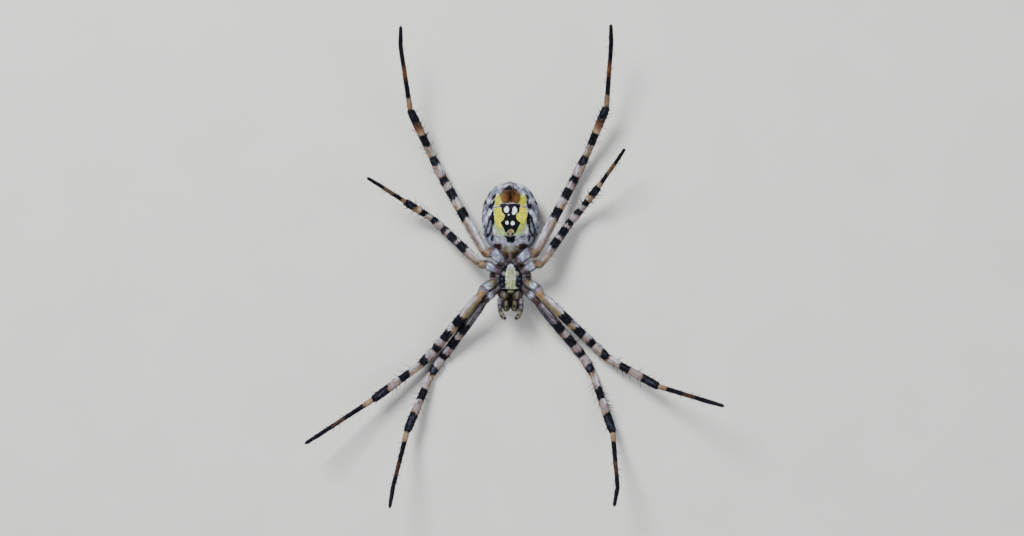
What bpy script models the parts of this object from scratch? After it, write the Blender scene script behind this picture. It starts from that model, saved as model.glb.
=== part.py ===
"""An adult female banded garden spider, life size, lying still on its back.

The belly faces +Z, the head points to -Y and the spinnerets to +Y, so the animal's own
right side is at +X. Dimensions are in millimetres from a working origin, which is the
floor under the waist, and MM turns them into metres. At the end the whole spider is
moved so that the origin is the middle of its footprint, on the floor.
"""

import math

import bmesh
import bpy
from mathutils import Vector

MM = 0.001

# Thin cuts between neighbouring pieces, and the room round a piece that sits in another.
JOINT_CUT = 0.06
SEAT_ROOM = 0.05

SIDES = {"left": -1, "right": 1}

# Facets around the limbs and around the larger body parts.
LIMB_FACETS = 10
BODY_FACETS = 24
SMALL_FACETS = 12
FANG_FACETS = 8
EYE_FACETS = 10

# ---- Legs -------------------------------------------------------------------------------
# A leg is a chain of segments. The ones beyond the hip are swung by YAW, the angle in plan
# from straight ahead outwards, and PITCH, the angle from level up towards the belly's side.
FREE_SEGMENTS = ("femur", "patella", "tibia", "metatarsus", "tarsus")
CHAIN = ("coxa", "trochanter") + FREE_SEGMENTS

# Which segments each solid takes in, in order from the body outwards.
LEG_NODES = {
    "coxa": ("coxa", "trochanter"),
    "femur": ("femur",),
    "tibia": ("patella", "tibia"),
    "foot": ("metatarsus", "tarsus"),
}

# For each pair: inner and outer ends of the coxa, the hip, the lengths of the free segments,
# and how thick the coxa and the rest of the leg are, as a share of the girths below.
LEG_PAIRS = {
    1: {
        "coxa": ((1.58, -3.70, 4.20), (2.65, -4.68, 4.10)),
        "hip": (3.15, -5.25, 4.00),
        "lengths": (8.95, 2.50, 7.35, 7.70, 2.40),
        "hip_girth": 0.95,
        "girth": 1.0,
    },
    2: {
        "coxa": ((1.65, -2.78, 4.40), (3.05, -3.60, 4.60)),
        "hip": (3.55, -4.40, 4.85),
        "lengths": (9.25, 2.52, 6.80, 7.30, 2.40),
        "hip_girth": 1.0,
        "girth": 1.0,
    },
    3: {
        "coxa": ((1.50, -1.62, 4.35), (2.80, -0.88, 4.40)),
        "hip": (3.55, -0.80, 4.35),
        "lengths": (6.60, 1.85, 3.80, 4.15, 1.85),
        "hip_girth": 1.05,
        "girth": 0.9,
    },
    4: {
        "coxa": ((0.72, -0.66, 4.45), (2.10, 0.55, 4.55)),
        "hip": (2.95, 0.42, 4.30),
        "lengths": (10.60, 2.90, 6.30, 7.80, 2.40),
        "hip_girth": 1.15,
        "girth": 1.0,
    },
}

# The pose, in degrees, one yaw and one pitch for each free segment.
LEG_YAW = {
    (1, "left"): (36.5, 34.0, 22.5, 13.0, 8.5),
    (1, "right"): (40.0, 30.5, 18.5, 3.5, -11.0),
    (2, "left"): (39.5, 44.0, 54.0, 57.0, 58.0),
    (2, "right"): (46.5, 46.5, 61.5, 74.5, 74.5),
    (3, "left"): (133.5, 131.5, 122.0, 123.0, 121.0),
    (3, "right"): (145.0, 138.0, 143.0, 145.0, 147.0),
    (4, "left"): (150.5, 154.0, 155.0, 172.0, 181.0),
    (4, "right"): (152.5, 153.5, 157.5, 176.5, 182.5),
}
LEG_PITCH = {
    (1, "left"): (-23.5, 3, 18, 33, 24),
    (1, "right"): (-23.5, 3, 11, 39, 22),
    (2, "left"): (-24, 5, 12, 18, 21),
    (2, "right"): (-23, 3, 18, 44, 23),
    (3, "left"): (-23, 12, 22, 37, 22),
    (3, "right"): (-22, 8, 32, 27, 33),
    (4, "left"): (-16, 3, 25, 22, 16),
    (4, "right"): (-17, 12, 19, 22, 31),
}

# Radius along each segment: pairs of the fraction of its length and the radius there.
GIRTHS = {
    "coxa": ((0.00, 0.36), (0.22, 0.46), (0.70, 0.53)),
    "trochanter": ((0.00, 0.49), (0.50, 0.49)),
    "femur": ((0.00, 0.38), (0.05, 0.47), (0.24, 0.56), (0.50, 0.56), (0.78, 0.54), (0.94, 0.56)),
    "patella": ((0.00, 0.47), (0.16, 0.57), (0.50, 0.56), (0.84, 0.47)),
    "tibia": ((0.00, 0.43), (0.10, 0.45), (0.40, 0.46), (0.72, 0.51), (0.92, 0.49)),
    "metatarsus": ((0.00, 0.28), (0.04, 0.33), (0.22, 0.29), (0.60, 0.27)),
    "tarsus": ((0.00, 0.25), (0.20, 0.27), (0.70, 0.26), (0.90, 0.25)),
}
END_GIRTHS = {"coxa": 0.41, "femur": 0.47, "tibia": 0.40, "foot": 0.15}

# ---- Abdomen ----------------------------------------------------------------------------
ABDOMEN_MIDDLE = 4.41
ABDOMEN_HALF_LENGTH = 4.325
ABDOMEN_HALF_WIDTH = 3.32
ABDOMEN_FULLNESS = 2.15
ABDOMEN_SECTION_FULLNESS = 2.2
# Half the width of the front of the back, which overhangs the waist.
OVERHANG_HALF_WIDTH = 0.75
# Stations nearer the ends than this share of the half length keep a small blunt end.
ABDOMEN_END = 0.998
# Side view: height of the belly line and of the back line along the body.
BELLY_LINE = (
    (-0.28, 2.2), (0.15, 3.5), (1.0, 4.2), (2.5, 5.15), (4.4, 5.5), (6.5, 5.25), (8.0, 4.5), (8.72, 3.5),
)
BACK_LINE = (
    (-0.28, 1.1), (0.5, 0.3), (1.8, -0.12), (5.6, -0.12), (7.2, 0.5), (8.2, 1.5), (8.72, 2.6),
)
ABDOMEN_STATIONS = (
    -0.28, -0.12, 0.15, 0.5, 1.0, 1.7, 2.5, 3.4, 4.4, 5.4, 6.3, 7.1, 7.75, 8.2, 8.5, 8.66, 8.72,
)

SPINNERET_LEAN = (0, 0.45, 0.9)
# Layers of a spinneret on the right: across, along, height, half width and half depth.
SPINNERET_LAYERS = (
    (0.57, 6.70, 4.80, 0.50, 0.62),
    (0.56, 6.95, 5.35, 0.50, 0.62),
    (0.46, 7.28, 5.72, 0.38, 0.46),
    (0.36, 7.52, 5.95, 0.24, 0.28),
    (0.32, 7.60, 6.02, 0.12, 0.14),
)
# Layers of a level piece: height, half width, half depth.
EPIGYNE_PLACE = (0, 2.60)
EPIGYNE_LAYERS = ((4.90, 0.30, 0.44), (5.36, 0.30, 0.44), (5.56, 0.24, 0.34), (5.64, 0.12, 0.20))
LABIUM_PLACE = (0, -4.08)
LABIUM_LAYERS = ((3.90, 0.36, 0.17), (4.50, 0.44, 0.22), (4.78, 0.41, 0.20), (4.86, 0.30, 0.13))

PEDICEL_PATH = ((0, -0.55, 3.92), (0, -0.30, 3.92), (0, 0.16, 3.90))
PEDICEL_RADII = (0.22, 0.28, 0.28)

# ---- Head and breast --------------------------------------------------------------------
CARAPACE_FLAT = 3.58
CARAPACE_RIM = 3.32
CARAPACE_SECTION_FULLNESS = 2.3
CARAPACE_HALF_WIDTH = (
    (-5.98, 0.92), (-5.80, 1.12), (-5.20, 1.30), (-4.40, 1.55), (-3.50, 2.15),
    (-2.50, 2.48), (-1.70, 2.38), (-1.00, 1.90), (-0.60, 1.35), (-0.42, 0.95),
)
CARAPACE_BACK = (
    (-5.98, 2.15), (-5.80, 1.90), (-5.20, 1.68), (-4.40, 1.58), (-3.50, 1.62),
    (-2.50, 1.75), (-1.70, 1.95), (-1.00, 2.25), (-0.60, 2.50), (-0.42, 2.80),
)
CARAPACE_STATIONS = (-5.98, -5.8, -5.5, -5.1, -4.6, -4.0, -3.4, -2.8, -2.2, -1.6, -1.1, -0.7, -0.42)

SOCKET_ROOM = 0.03
# Eyes: across, along, height and radius, for the right side.
EYES = {
    "eye_front_middle": (0.27, -5.93, 2.62, 0.15),
    "eye_back_middle": (0.34, -5.78, 2.10, 0.17),
    "eye_front_side": (0.93, -5.80, 2.68, 0.13),
    "eye_back_side": (1.02, -5.60, 2.36, 0.14),
}

# Breast plate, as half widths from the waist's end to the lip's end.
STERNUM_OUTLINE = (
    (-0.62, 0.22), (-0.95, 0.58), (-1.35, 0.98), (-1.80, 1.26),
    (-2.30, 1.37), (-2.85, 1.38), (-3.30, 1.27), (-3.66, 0.96), (-3.80, 0.58),
)
# Heights of its layers and how far each reaches, as a share of the outline.
STERNUM_LAYERS = ((3.64, 0.86), (4.10, 0.97), (4.62, 1.0), (4.82, 0.93), (4.92, 0.70))

# Jaws and feelers on the right.
CHELICERA_LAYERS = (
    (0.48, -5.54, 3.64, 0.44, 0.52),
    (0.49, -5.64, 3.95, 0.46, 0.62),
    (0.49, -5.72, 4.35, 0.46, 0.66),
    (0.47, -5.72, 4.75, 0.41, 0.60),
    (0.44, -5.68, 5.00, 0.28, 0.42),
)
ENDITE_PATH = (
    (0.99, -4.04, 4.30), (0.92, -4.18, 4.36), (0.72, -4.48, 4.46), (0.55, -4.72, 4.50), (0.46, -4.84, 4.50),
)
ENDITE_RADII = (0.24, 0.36, 0.41, 0.34, 0.18)
FANG_PATH = ((0.50, -5.86, 5.17), (0.42, -5.62, 5.20), (0.28, -5.38, 5.14), (0.16, -5.22, 5.02))
FANG_RADII = (0.12, 0.12, 0.08, 0.03)
PALP_PATH = (
    (1.28, -4.72, 4.20), (1.27, -4.96, 4.20), (1.26, -5.50, 4.22), (1.24, -5.90, 4.30),
    (1.16, -6.28, 4.44), (1.02, -6.66, 4.62), (0.84, -6.95, 4.78), (0.70, -7.12, 4.86), (0.62, -7.22, 4.90),
)
PALP_RADII = (0.22, 0.26, 0.25, 0.27, 0.26, 0.27, 0.27, 0.22, 0.10)


def smooth(keys, at):
    """Height of a soft line through the keys, which are (place, value) pairs, at a place."""
    if at <= keys[0][0]:
        return keys[0][1]
    if at >= keys[-1][0]:
        return keys[-1][1]
    last = len(keys) - 1
    i = max(k for k in range(last) if keys[k][0] <= at)
    (x1, y1), (x2, y2) = keys[i], keys[i + 1]

    def slope(k):
        before, after = keys[max(k - 1, 0)], keys[min(k + 1, last)]
        return (after[1] - before[1]) / (after[0] - before[0])

    span = x2 - x1
    t = (at - x1) / span
    return (
        (2 * t**3 - 3 * t**2 + 1) * y1
        + (t**3 - 2 * t**2 + t) * span * slope(i)
        + (3 * t**2 - 2 * t**3) * y2
        + (t**3 - t**2) * span * slope(i + 1)
    )


def signed_power(value, power):
    """The value's size raised to a power, with its sign kept."""
    return math.copysign(abs(value) ** power, value)


def egg_ring(along, half_width, low, middle, high, fullness):
    """A closed outline across the body at one place along it, never below the floor."""
    ring = []
    for k in range(BODY_FACETS):
        turn = 2 * math.pi * k / BODY_FACETS
        reach = high - middle if math.sin(turn) > 0 else middle - low
        x = half_width * signed_power(math.cos(turn), 2 / fullness)
        z = middle + reach * signed_power(math.sin(turn), 2 / fullness)
        ring.append(Vector((x, along, max(z, 0.0))))
    return ring


def oval_ring(centre, facing, wide, deep, facets):
    """An oval square to a direction; what would dip below the floor slides up in its plane."""
    across = facing.cross(Vector((0, 0, 1))).normalized()
    over = across.cross(facing).normalized()
    ring = []
    for k in range(facets):
        turn = 2 * math.pi * k / facets
        point = centre + across * wide * math.cos(turn) + over * deep * math.sin(turn)
        if point.z < 0:
            point -= over * (point.z / over.z)
        ring.append(point)
    return ring


def level_oval(centre, wide, deep, facets):
    """A level oval: wide across the body and deep along it."""
    ring = []
    for k in range(facets):
        turn = 2 * math.pi * k / facets
        ring.append(centre + Vector((wide * math.cos(turn), deep * math.sin(turn), 0)))
    return ring


def level_stack(name, place, layers):
    """A solid of level ovals, one over the other, at a place in plan."""
    return loft(
        name, [level_oval(Vector((*place, z)), wide, deep, SMALL_FACETS) for z, wide, deep in layers]
    )


def limb(name, path, radii, facets=LIMB_FACETS):
    """A round limb along a path of points, with a radius at each of them."""
    points = [Vector(point) for point in path]
    rings = [
        oval_ring(point, facing_at(points, k), radius, radius, facets)
        for k, (point, radius) in enumerate(zip(points, radii))
    ]
    return loft(name, rings)


def loft(name, rings, smooth_angle=50):
    """One closed solid through a row of outlines, with both ends capped."""
    bm = bmesh.new()
    loops = [[bm.verts.new(point * MM) for point in ring] for ring in rings]
    count = len(rings[0])
    for near, far in zip(loops, loops[1:]):
        for k in range(count):
            n = (k + 1) % count
            bm.faces.new((near[k], near[n], far[n], far[k]))
    bm.faces.new(loops[0])
    bm.faces.new(loops[-1])
    bmesh.ops.recalc_face_normals(bm, faces=bm.faces)
    mesh = bpy.data.meshes.new(name)
    bm.to_mesh(mesh)
    bm.free()
    mesh.shade_smooth()
    mesh.set_sharp_from_angle(angle=math.radians(smooth_angle))
    solid = bpy.data.objects.new(name, mesh)
    bpy.context.scene.collection.objects.link(solid)
    return solid


def finish(solid, colour, roughness=0.5, metallic=0.0):
    """Give a solid its own material."""
    material = bpy.data.materials.new(solid.name + "_finish")
    material.use_nodes = True
    shader = material.node_tree.nodes["Principled BSDF"]
    shader.inputs["Base Color"].default_value = (*colour, 1.0)
    shader.inputs["Roughness"].default_value = roughness
    shader.inputs["Metallic"].default_value = metallic
    solid.data.materials.append(material)
    return solid


def cut(solid, cutter):
    """Take a guide's shape out of a solid; the guide itself is not part of the model."""
    cutter.hide_render = True
    cutter.display_type = "WIRE"
    modifier = solid.modifiers.new("seat", "BOOLEAN")
    modifier.operation = "DIFFERENCE"
    modifier.solver = "EXACT"
    modifier.object = cutter


# ---- Legs -------------------------------------------------------------------------------
def leg_joints(pair, side):
    """The chain's joints, from the inner end of the coxa to the tip of the foot."""
    sign = SIDES[side]
    plan = LEG_PAIRS[pair]
    joints = [Vector((sign * x, y, z)) for x, y, z in (*plan["coxa"], plan["hip"])]
    for length, yaw, pitch in zip(plan["lengths"], LEG_YAW[pair, side], LEG_PITCH[pair, side]):
        swing, lift = math.radians(yaw), math.radians(pitch)
        step = Vector((
            sign * math.sin(swing) * math.cos(lift),
            -math.cos(swing) * math.cos(lift),
            math.sin(lift),
        ))
        joints.append(joints[-1] + step * length)
    return joints


def facing_at(joints, k):
    """The direction through joint k: half way between the segments that meet there."""
    ahead = (joints[k + 1] - joints[k]).normalized() if k + 1 < len(joints) else Vector()
    behind = (joints[k] - joints[k - 1]).normalized() if k > 0 else Vector()
    return (ahead + behind).normalized()


def leg_node(pair, side, part):
    """One solid of a leg, from joint cut to joint cut."""
    joints = leg_joints(pair, side)
    girth = LEG_PAIRS[pair]["hip_girth" if part == "coxa" else "girth"]
    segments = LEG_NODES[part]
    first = CHAIN.index(segments[0])
    rings = []
    for k, segment in enumerate(segments, first):
        start, end = joints[k], joints[k + 1]
        along = (end - start).normalized()
        for share, radius in GIRTHS[segment]:
            facing = along if share > 0 else facing_at(joints, k)
            centre = start.lerp(end, share)
            if share == 0 and k == first:
                centre = centre + facing * JOINT_CUT / 2
            rings.append(oval_ring(centre, facing, radius * girth, radius * girth, LIMB_FACETS))
    last = first + len(segments)
    facing = facing_at(joints, last)
    radius = END_GIRTHS[part] * girth
    rings.append(oval_ring(joints[last] - facing * JOINT_CUT / 2, facing, radius, radius, LIMB_FACETS))
    return loft(f"leg_{pair}_{side}_{part}", rings)


def build_legs():
    colours = {
        "coxa": (0.33, 0.33, 0.36),
        "femur": (0.55, 0.46, 0.40),
        "tibia": (0.48, 0.38, 0.30),
        "foot": (0.16, 0.09, 0.06),
    }
    return [
        finish(leg_node(pair, side, part), colours[part])
        for pair in LEG_PAIRS
        for side in SIDES
        for part in LEG_NODES
    ]


# ---- Abdomen and waist ------------------------------------------------------------------
def abdomen_form(name, room=0.0):
    """The abdomen's egg; room swells it, to cut the seats of what grows from it."""
    rings = []
    for along in ABDOMEN_STATIONS:
        reach = min(abs(along - ABDOMEN_MIDDLE) / ABDOMEN_HALF_LENGTH, ABDOMEN_END)
        half_width = ABDOMEN_HALF_WIDTH * (1 - reach**ABDOMEN_FULLNESS) ** (1 / ABDOMEN_FULLNESS)
        if along < ABDOMEN_MIDDLE:
            half_width = max(half_width, OVERHANG_HALF_WIDTH)
        low, high = smooth(BACK_LINE, along), smooth(BELLY_LINE, along)
        rings.append(
            egg_ring(
                along, half_width + room, low - room, (low + high) / 2, high + room, ABDOMEN_SECTION_FULLNESS
            )
        )
    return loft(name, rings)


def build_spinneret(side, room):
    """One of the two cones that lean together behind the belly, seated on the abdomen."""
    facing = Vector(SPINNERET_LEAN).normalized()
    rings = [
        oval_ring(Vector((SIDES[side] * x, y, z)), facing, wide, deep, SMALL_FACETS)
        for x, y, z, wide, deep in SPINNERET_LAYERS
    ]
    spinneret = loft(f"spinneret_{side}", rings)
    cut(spinneret, room)
    return finish(spinneret, (0.36, 0.15, 0.05))


def build_abdomen():
    room = abdomen_form("abdomen_room", SEAT_ROOM)
    abdomen = finish(abdomen_form("abdomen"), (0.42, 0.40, 0.28))
    epigyne = level_stack("epigyne", EPIGYNE_PLACE, EPIGYNE_LAYERS)
    cut(epigyne, room)
    finish(epigyne, (0.35, 0.27, 0.20))
    spinnerets = [build_spinneret(side, room) for side in SIDES]
    pedicel = limb("pedicel", PEDICEL_PATH, PEDICEL_RADII, SMALL_FACETS)
    finish(pedicel, (0.16, 0.08, 0.05))
    return [abdomen, epigyne, pedicel, *spinnerets]


# ---- Head and breast --------------------------------------------------------------------
def build_carapace():
    """The shield over the back of the head and chest, with a socket for each eye."""
    rings = []
    for along in CARAPACE_STATIONS:
        half_width, back = smooth(CARAPACE_HALF_WIDTH, along), smooth(CARAPACE_BACK, along)
        rings.append(
            egg_ring(along, half_width, back, CARAPACE_RIM, CARAPACE_FLAT, CARAPACE_SECTION_FULLNESS)
        )
    carapace = finish(loft("carapace", rings), (0.40, 0.38, 0.34))
    for name, side in eye_names():
        cut(carapace, eye_ball(f"{name}_{side}_socket", name, side, SOCKET_ROOM))
    return carapace


def eye_names():
    return [(name, side) for name in EYES for side in SIDES]


def eye_ball(object_name, name, side, room=0.0):
    """A ball at an eye's place."""
    across, along, height, radius = EYES[name]
    bm = bmesh.new()
    bmesh.ops.create_uvsphere(
        bm, u_segments=EYE_FACETS, v_segments=EYE_FACETS // 2, radius=(radius + room) * MM
    )
    mesh = bpy.data.meshes.new(object_name)
    bm.to_mesh(mesh)
    bm.free()
    mesh.shade_smooth()
    ball = bpy.data.objects.new(object_name, mesh)
    ball.location = Vector((SIDES[side] * across, along, height)) * MM
    bpy.context.scene.collection.objects.link(ball)
    return ball


def build_eyes():
    return [
        finish(eye_ball(f"{name}_{side}", name, side), (0.02, 0.015, 0.01), 0.08)
        for name, side in eye_names()
    ]


def build_sternum():
    """The breast plate, with the block of the chest under it that the legs gather round."""
    rings = []
    for height, reach in STERNUM_LAYERS:
        right = [Vector((x * reach, y, height)) for y, x in STERNUM_OUTLINE]
        left = [Vector((-point.x, point.y, point.z)) for point in reversed(right)]
        rings.append(right + left)
    return finish(loft("sternum", rings), (0.10, 0.11, 0.13))


def build_mouth():
    """The lip, the two jaw plates, the two jaws and their fangs, and the two feelers."""
    pieces = [finish(level_stack("labium", LABIUM_PLACE, LABIUM_LAYERS), (0.30, 0.30, 0.22))]
    for side, sign in SIDES.items():
        endite = limb(f"endite_{side}", mirrored(ENDITE_PATH, sign), ENDITE_RADII, SMALL_FACETS)
        pieces.append(finish(endite, (0.20, 0.18, 0.12)))
        jaw_rings = [
            level_oval(Vector((sign * x, y, z)), wide, deep, SMALL_FACETS)
            for x, y, z, wide, deep in CHELICERA_LAYERS
        ]
        pieces.append(finish(loft(f"chelicera_{side}", jaw_rings), (0.22, 0.19, 0.12), 0.35))
        fang = limb(f"fang_{side}", mirrored(FANG_PATH, sign), FANG_RADII, FANG_FACETS)
        pieces.append(finish(fang, (0.07, 0.02, 0.01), 0.2))
        palp = limb(f"palp_{side}", mirrored(PALP_PATH, sign), PALP_RADII)
        pieces.append(finish(palp, (0.45, 0.38, 0.28)))
    return pieces


def mirrored(path, sign):
    """A right-hand path on the wanted side."""
    return [(sign * x, y, z) for x, y, z in path]


def centre_on_floor(pieces):
    """Move every piece so that the middle of the footprint is the origin, on the floor."""
    bpy.context.view_layer.update()
    depsgraph = bpy.context.evaluated_depsgraph_get()
    corners = []
    for piece in pieces:
        made = piece.evaluated_get(depsgraph)
        corners += [made.matrix_world @ vertex.co for vertex in made.data.vertices]
    middle = [(min(p[k] for p in corners) + max(p[k] for p in corners)) / 2 for k in range(2)]
    for solid in bpy.data.objects:
        solid.location.x -= middle[0]
        solid.location.y -= middle[1]


def main():
    for old in list(bpy.data.objects):
        bpy.data.objects.remove(old)
    pieces = build_abdomen()
    pieces += [build_carapace(), build_sternum()]
    pieces += build_eyes()
    pieces += build_mouth()
    pieces += build_legs()
    centre_on_floor(pieces)


main()
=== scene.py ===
"""The finished looks of a banded garden spider, life size, lying still on its back.

The skin, plates, eyes, fangs, claws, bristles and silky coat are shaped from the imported
solids, and one set of markings colours both the skin and the hairs that grow from it.
Lengths are in millimetres, and MM turns them into metres. The belly faces +Z, the head
points to -Y, and the animal's own right side is at +X.
"""

import logging
import math
from dataclasses import dataclass, field
from enum import Enum
from functools import reduce

import bmesh
import bpy
import numpy as np
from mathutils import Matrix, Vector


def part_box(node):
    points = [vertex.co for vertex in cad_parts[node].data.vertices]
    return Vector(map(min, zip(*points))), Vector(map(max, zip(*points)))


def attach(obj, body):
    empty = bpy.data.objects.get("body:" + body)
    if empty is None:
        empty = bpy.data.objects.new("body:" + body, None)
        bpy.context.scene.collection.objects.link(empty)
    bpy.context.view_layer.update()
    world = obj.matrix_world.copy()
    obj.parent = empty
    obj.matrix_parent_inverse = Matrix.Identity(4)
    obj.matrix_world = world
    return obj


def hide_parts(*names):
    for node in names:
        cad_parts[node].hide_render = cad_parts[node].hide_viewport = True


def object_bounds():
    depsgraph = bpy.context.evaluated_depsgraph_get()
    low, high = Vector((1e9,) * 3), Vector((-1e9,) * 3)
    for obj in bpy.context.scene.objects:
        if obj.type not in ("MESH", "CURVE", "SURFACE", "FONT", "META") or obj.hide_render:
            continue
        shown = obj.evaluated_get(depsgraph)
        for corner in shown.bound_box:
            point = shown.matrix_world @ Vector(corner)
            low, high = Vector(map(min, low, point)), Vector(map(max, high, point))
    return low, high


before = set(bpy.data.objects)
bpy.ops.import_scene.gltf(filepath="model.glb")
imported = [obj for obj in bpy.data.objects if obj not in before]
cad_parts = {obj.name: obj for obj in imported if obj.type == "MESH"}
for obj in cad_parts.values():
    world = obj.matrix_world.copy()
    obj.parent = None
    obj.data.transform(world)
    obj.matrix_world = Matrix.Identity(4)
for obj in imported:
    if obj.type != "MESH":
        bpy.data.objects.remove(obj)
CAD_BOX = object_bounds()

log = logging.getLogger("spider")

Array = np.ndarray
Amount = Array | float
Colour = tuple[float, float, float]
Pair = tuple[float, float]
Plot = tuple[float, float, float, float]
Row = tuple[float, ...]

MM = 0.001
UP = np.array((0.0, 0.0, 1.0))
UNWRAP = "OFBake"
BODY = "root"
# Plots of the unwrap: all of it, and all but a margin.
WHOLE_MAP = (0, 0, 1, 1)
PLATE_MAP = (0.005, 0.005, 0.995, 0.995)

# Points of a solid nearer than this are one point, and outlines nearer than this are one.
WELD = 0.002
SAME_LEVEL = 0.01
# Further off than any solid is long.
FAR = 1000.0
# The lowest that skin or hair comes over the floor.
FLOOR_GAP = 0.012
# How far the skin lies inside the solids, to leave room for the coat.
COAT_DEPTH = 0.04
# The least fullness of a closed end, squared, and the height of a rounded end in its own radii.
THINNEST = 0.0004
DOME = 0.22
# How many random patches run along a plan before they repeat.
PATCH_ROWS = 64
# The chest's pleats, in degrees: how far apart they are, half of one's width, and half of their fan.
PLEAT_STEP = 12.0
PLEAT_HALF = 3.2
PLEAT_FAN = 30.0

# ---- Colours, as the share of light that comes back ----
BLACK = (0.0015, 0.002, 0.003)
BLUE_BLACK = (0.008, 0.009, 0.022)
WHITE = (0.82, 0.88, 0.97)
SILVER = (0.30, 0.33, 0.44)
PALE_SILVER = (0.32, 0.335, 0.41)
FROST = (0.185, 0.21, 0.305)
LAVENDER = (0.19, 0.17, 0.23)
PALE_PINK = (0.26, 0.20, 0.205)
LILAC_WHITE = (0.31, 0.27, 0.30)
SMOKE = (0.065, 0.055, 0.062)
TAN = (0.20, 0.125, 0.065)
SAND = (0.28, 0.20, 0.115)
GOLDEN = (0.13, 0.075, 0.025)
ORANGE = (0.34, 0.150, 0.012)
AMBER = (0.245, 0.118, 0.036)
RUST = (0.10, 0.040, 0.013)
CHESTNUT = (0.042, 0.017, 0.009)
UMBER = (0.024, 0.014, 0.012)
SLATE = (0.045, 0.050, 0.100)
# The painted sheen of the glossy black leg joints.
SLATY_SHEEN = (0.042, 0.045, 0.078)
MAROON = (0.024, 0.007, 0.010)
BARK = (0.14, 0.115, 0.08)
OLIVE = (0.055, 0.048, 0.026)
PALE_OLIVE = (0.17, 0.165, 0.09)
STRAW = (0.17, 0.185, 0.085)
OCHRE = (0.20, 0.16, 0.05)
MOSS = (0.21, 0.205, 0.10)
LIME = (0.40, 0.47, 0.07)
GREEN_GOLD = (0.34, 0.37, 0.13)
GREEN_CREAM = (0.30, 0.44, 0.17)
PALE_GREEN = (0.38, 0.55, 0.22)
CREAM = (0.48, 0.50, 0.13)


class Side(Enum):
    """A side of the animal and its sign along X."""

    LEFT = -1
    RIGHT = 1


class Mark(Enum):
    """A marking, kept over the skin as how deep a point lies inside it, in millimetres."""

    DARK = "dark"
    PALE = "pale"
    GOLD = "gold"


# ---- Small tools ----
def unit(vectors: Array) -> Array:
    """Vectors of length one in the same directions."""
    return vectors / np.maximum(np.linalg.norm(vectors, axis=-1, keepdims=True), 1e-12)


def least(*depths: Amount) -> Array:
    """The smallest of some depths at each point: the depth inside all of them."""
    return reduce(np.minimum, depths)


def most(*depths: Amount) -> Array:
    """The largest of some depths at each point: the depth inside any of them."""
    return reduce(np.maximum, depths)


def turns(count: int) -> Array:
    """Even angles once round."""
    return 2 * math.pi * np.arange(count) / count


def step(values: Array, low: float, high: float) -> Array:
    """A soft step from 0 at low to 1 at high."""
    t = np.clip((values - low) / (high - low), 0, 1)
    return t * t * (3 - 2 * t)


def ended(left: Array, reach: float, least_share: float) -> Array:
    """How full a limb is, from how far is left of it, where it rounds off over a reach."""
    return np.sqrt(np.maximum(1 - (1 - np.clip(left / reach, 0, 1)) ** 2, least_share))


def through(keys: Array, values: Array, at: Array) -> Array:
    """A soft line through known values.

    Args:
        keys: the places of the values, rising.
        values: one number or one row of numbers for each key.
        at: the places wanted, held between the first and last keys.

    Returns:
        The values at those places.
    """
    keys, values = np.asarray(keys, float), np.asarray(values, float)
    at = np.clip(np.asarray(at, float), keys[0], keys[-1])
    k = np.arange(len(keys))
    before, after = np.maximum(k - 1, 0), np.minimum(k + 1, len(keys) - 1)
    gaps = (keys[after] - keys[before]).reshape((-1,) + (1,) * (values.ndim - 1))
    slopes = (values[after] - values[before]) / gaps
    i = np.clip(np.searchsorted(keys, at, side="right") - 1, 0, len(keys) - 2)
    tail = at.shape + (1,) * (values.ndim - 1)
    span = (keys[i + 1] - keys[i]).reshape(tail)
    t = (at - keys[i]).reshape(tail) / span
    return (
        (2 * t**3 - 3 * t**2 + 1) * values[i]
        + (t**3 - 2 * t**2 + t) * span * slopes[i]
        + (3 * t**2 - 2 * t**3) * values[i + 1]
        + (t**3 - t**2) * span * slopes[i + 1]
    )


def line(keys: tuple[Pair, ...], at: Array) -> Array:
    """The soft line through (place, value) pairs, at some places."""
    places, values = np.array(keys, float).T
    return through(places, values, at)


def rounded(ring: Array, count: int) -> Array:
    """A closed outline redrawn as a soft curve with that many points."""
    k = np.arange(-2, len(ring) + 3)
    return through(k, ring[k % len(ring)], np.linspace(0, len(ring), count, endpoint=False))


def powered(values: Array, power: float) -> Array:
    """The values' sizes raised to a power, with their signs kept."""
    return np.sign(values) * np.abs(values) ** power


def spine(rings: list[Array]) -> tuple[Array, Array, Array]:
    """The middle line of a limb.

    Args:
        rings: its outlines in order.

    Returns:
        How far along it each outline is, then their middles, then their mean radii.
    """
    centres = np.array([ring.mean(0) for ring in rings])
    radii = np.array([np.linalg.norm(ring - ring.mean(0), axis=1).mean() for ring in rings])
    return np.r_[0, np.cumsum(np.linalg.norm(np.diff(centres, axis=0), axis=1))], centres, radii


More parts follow.
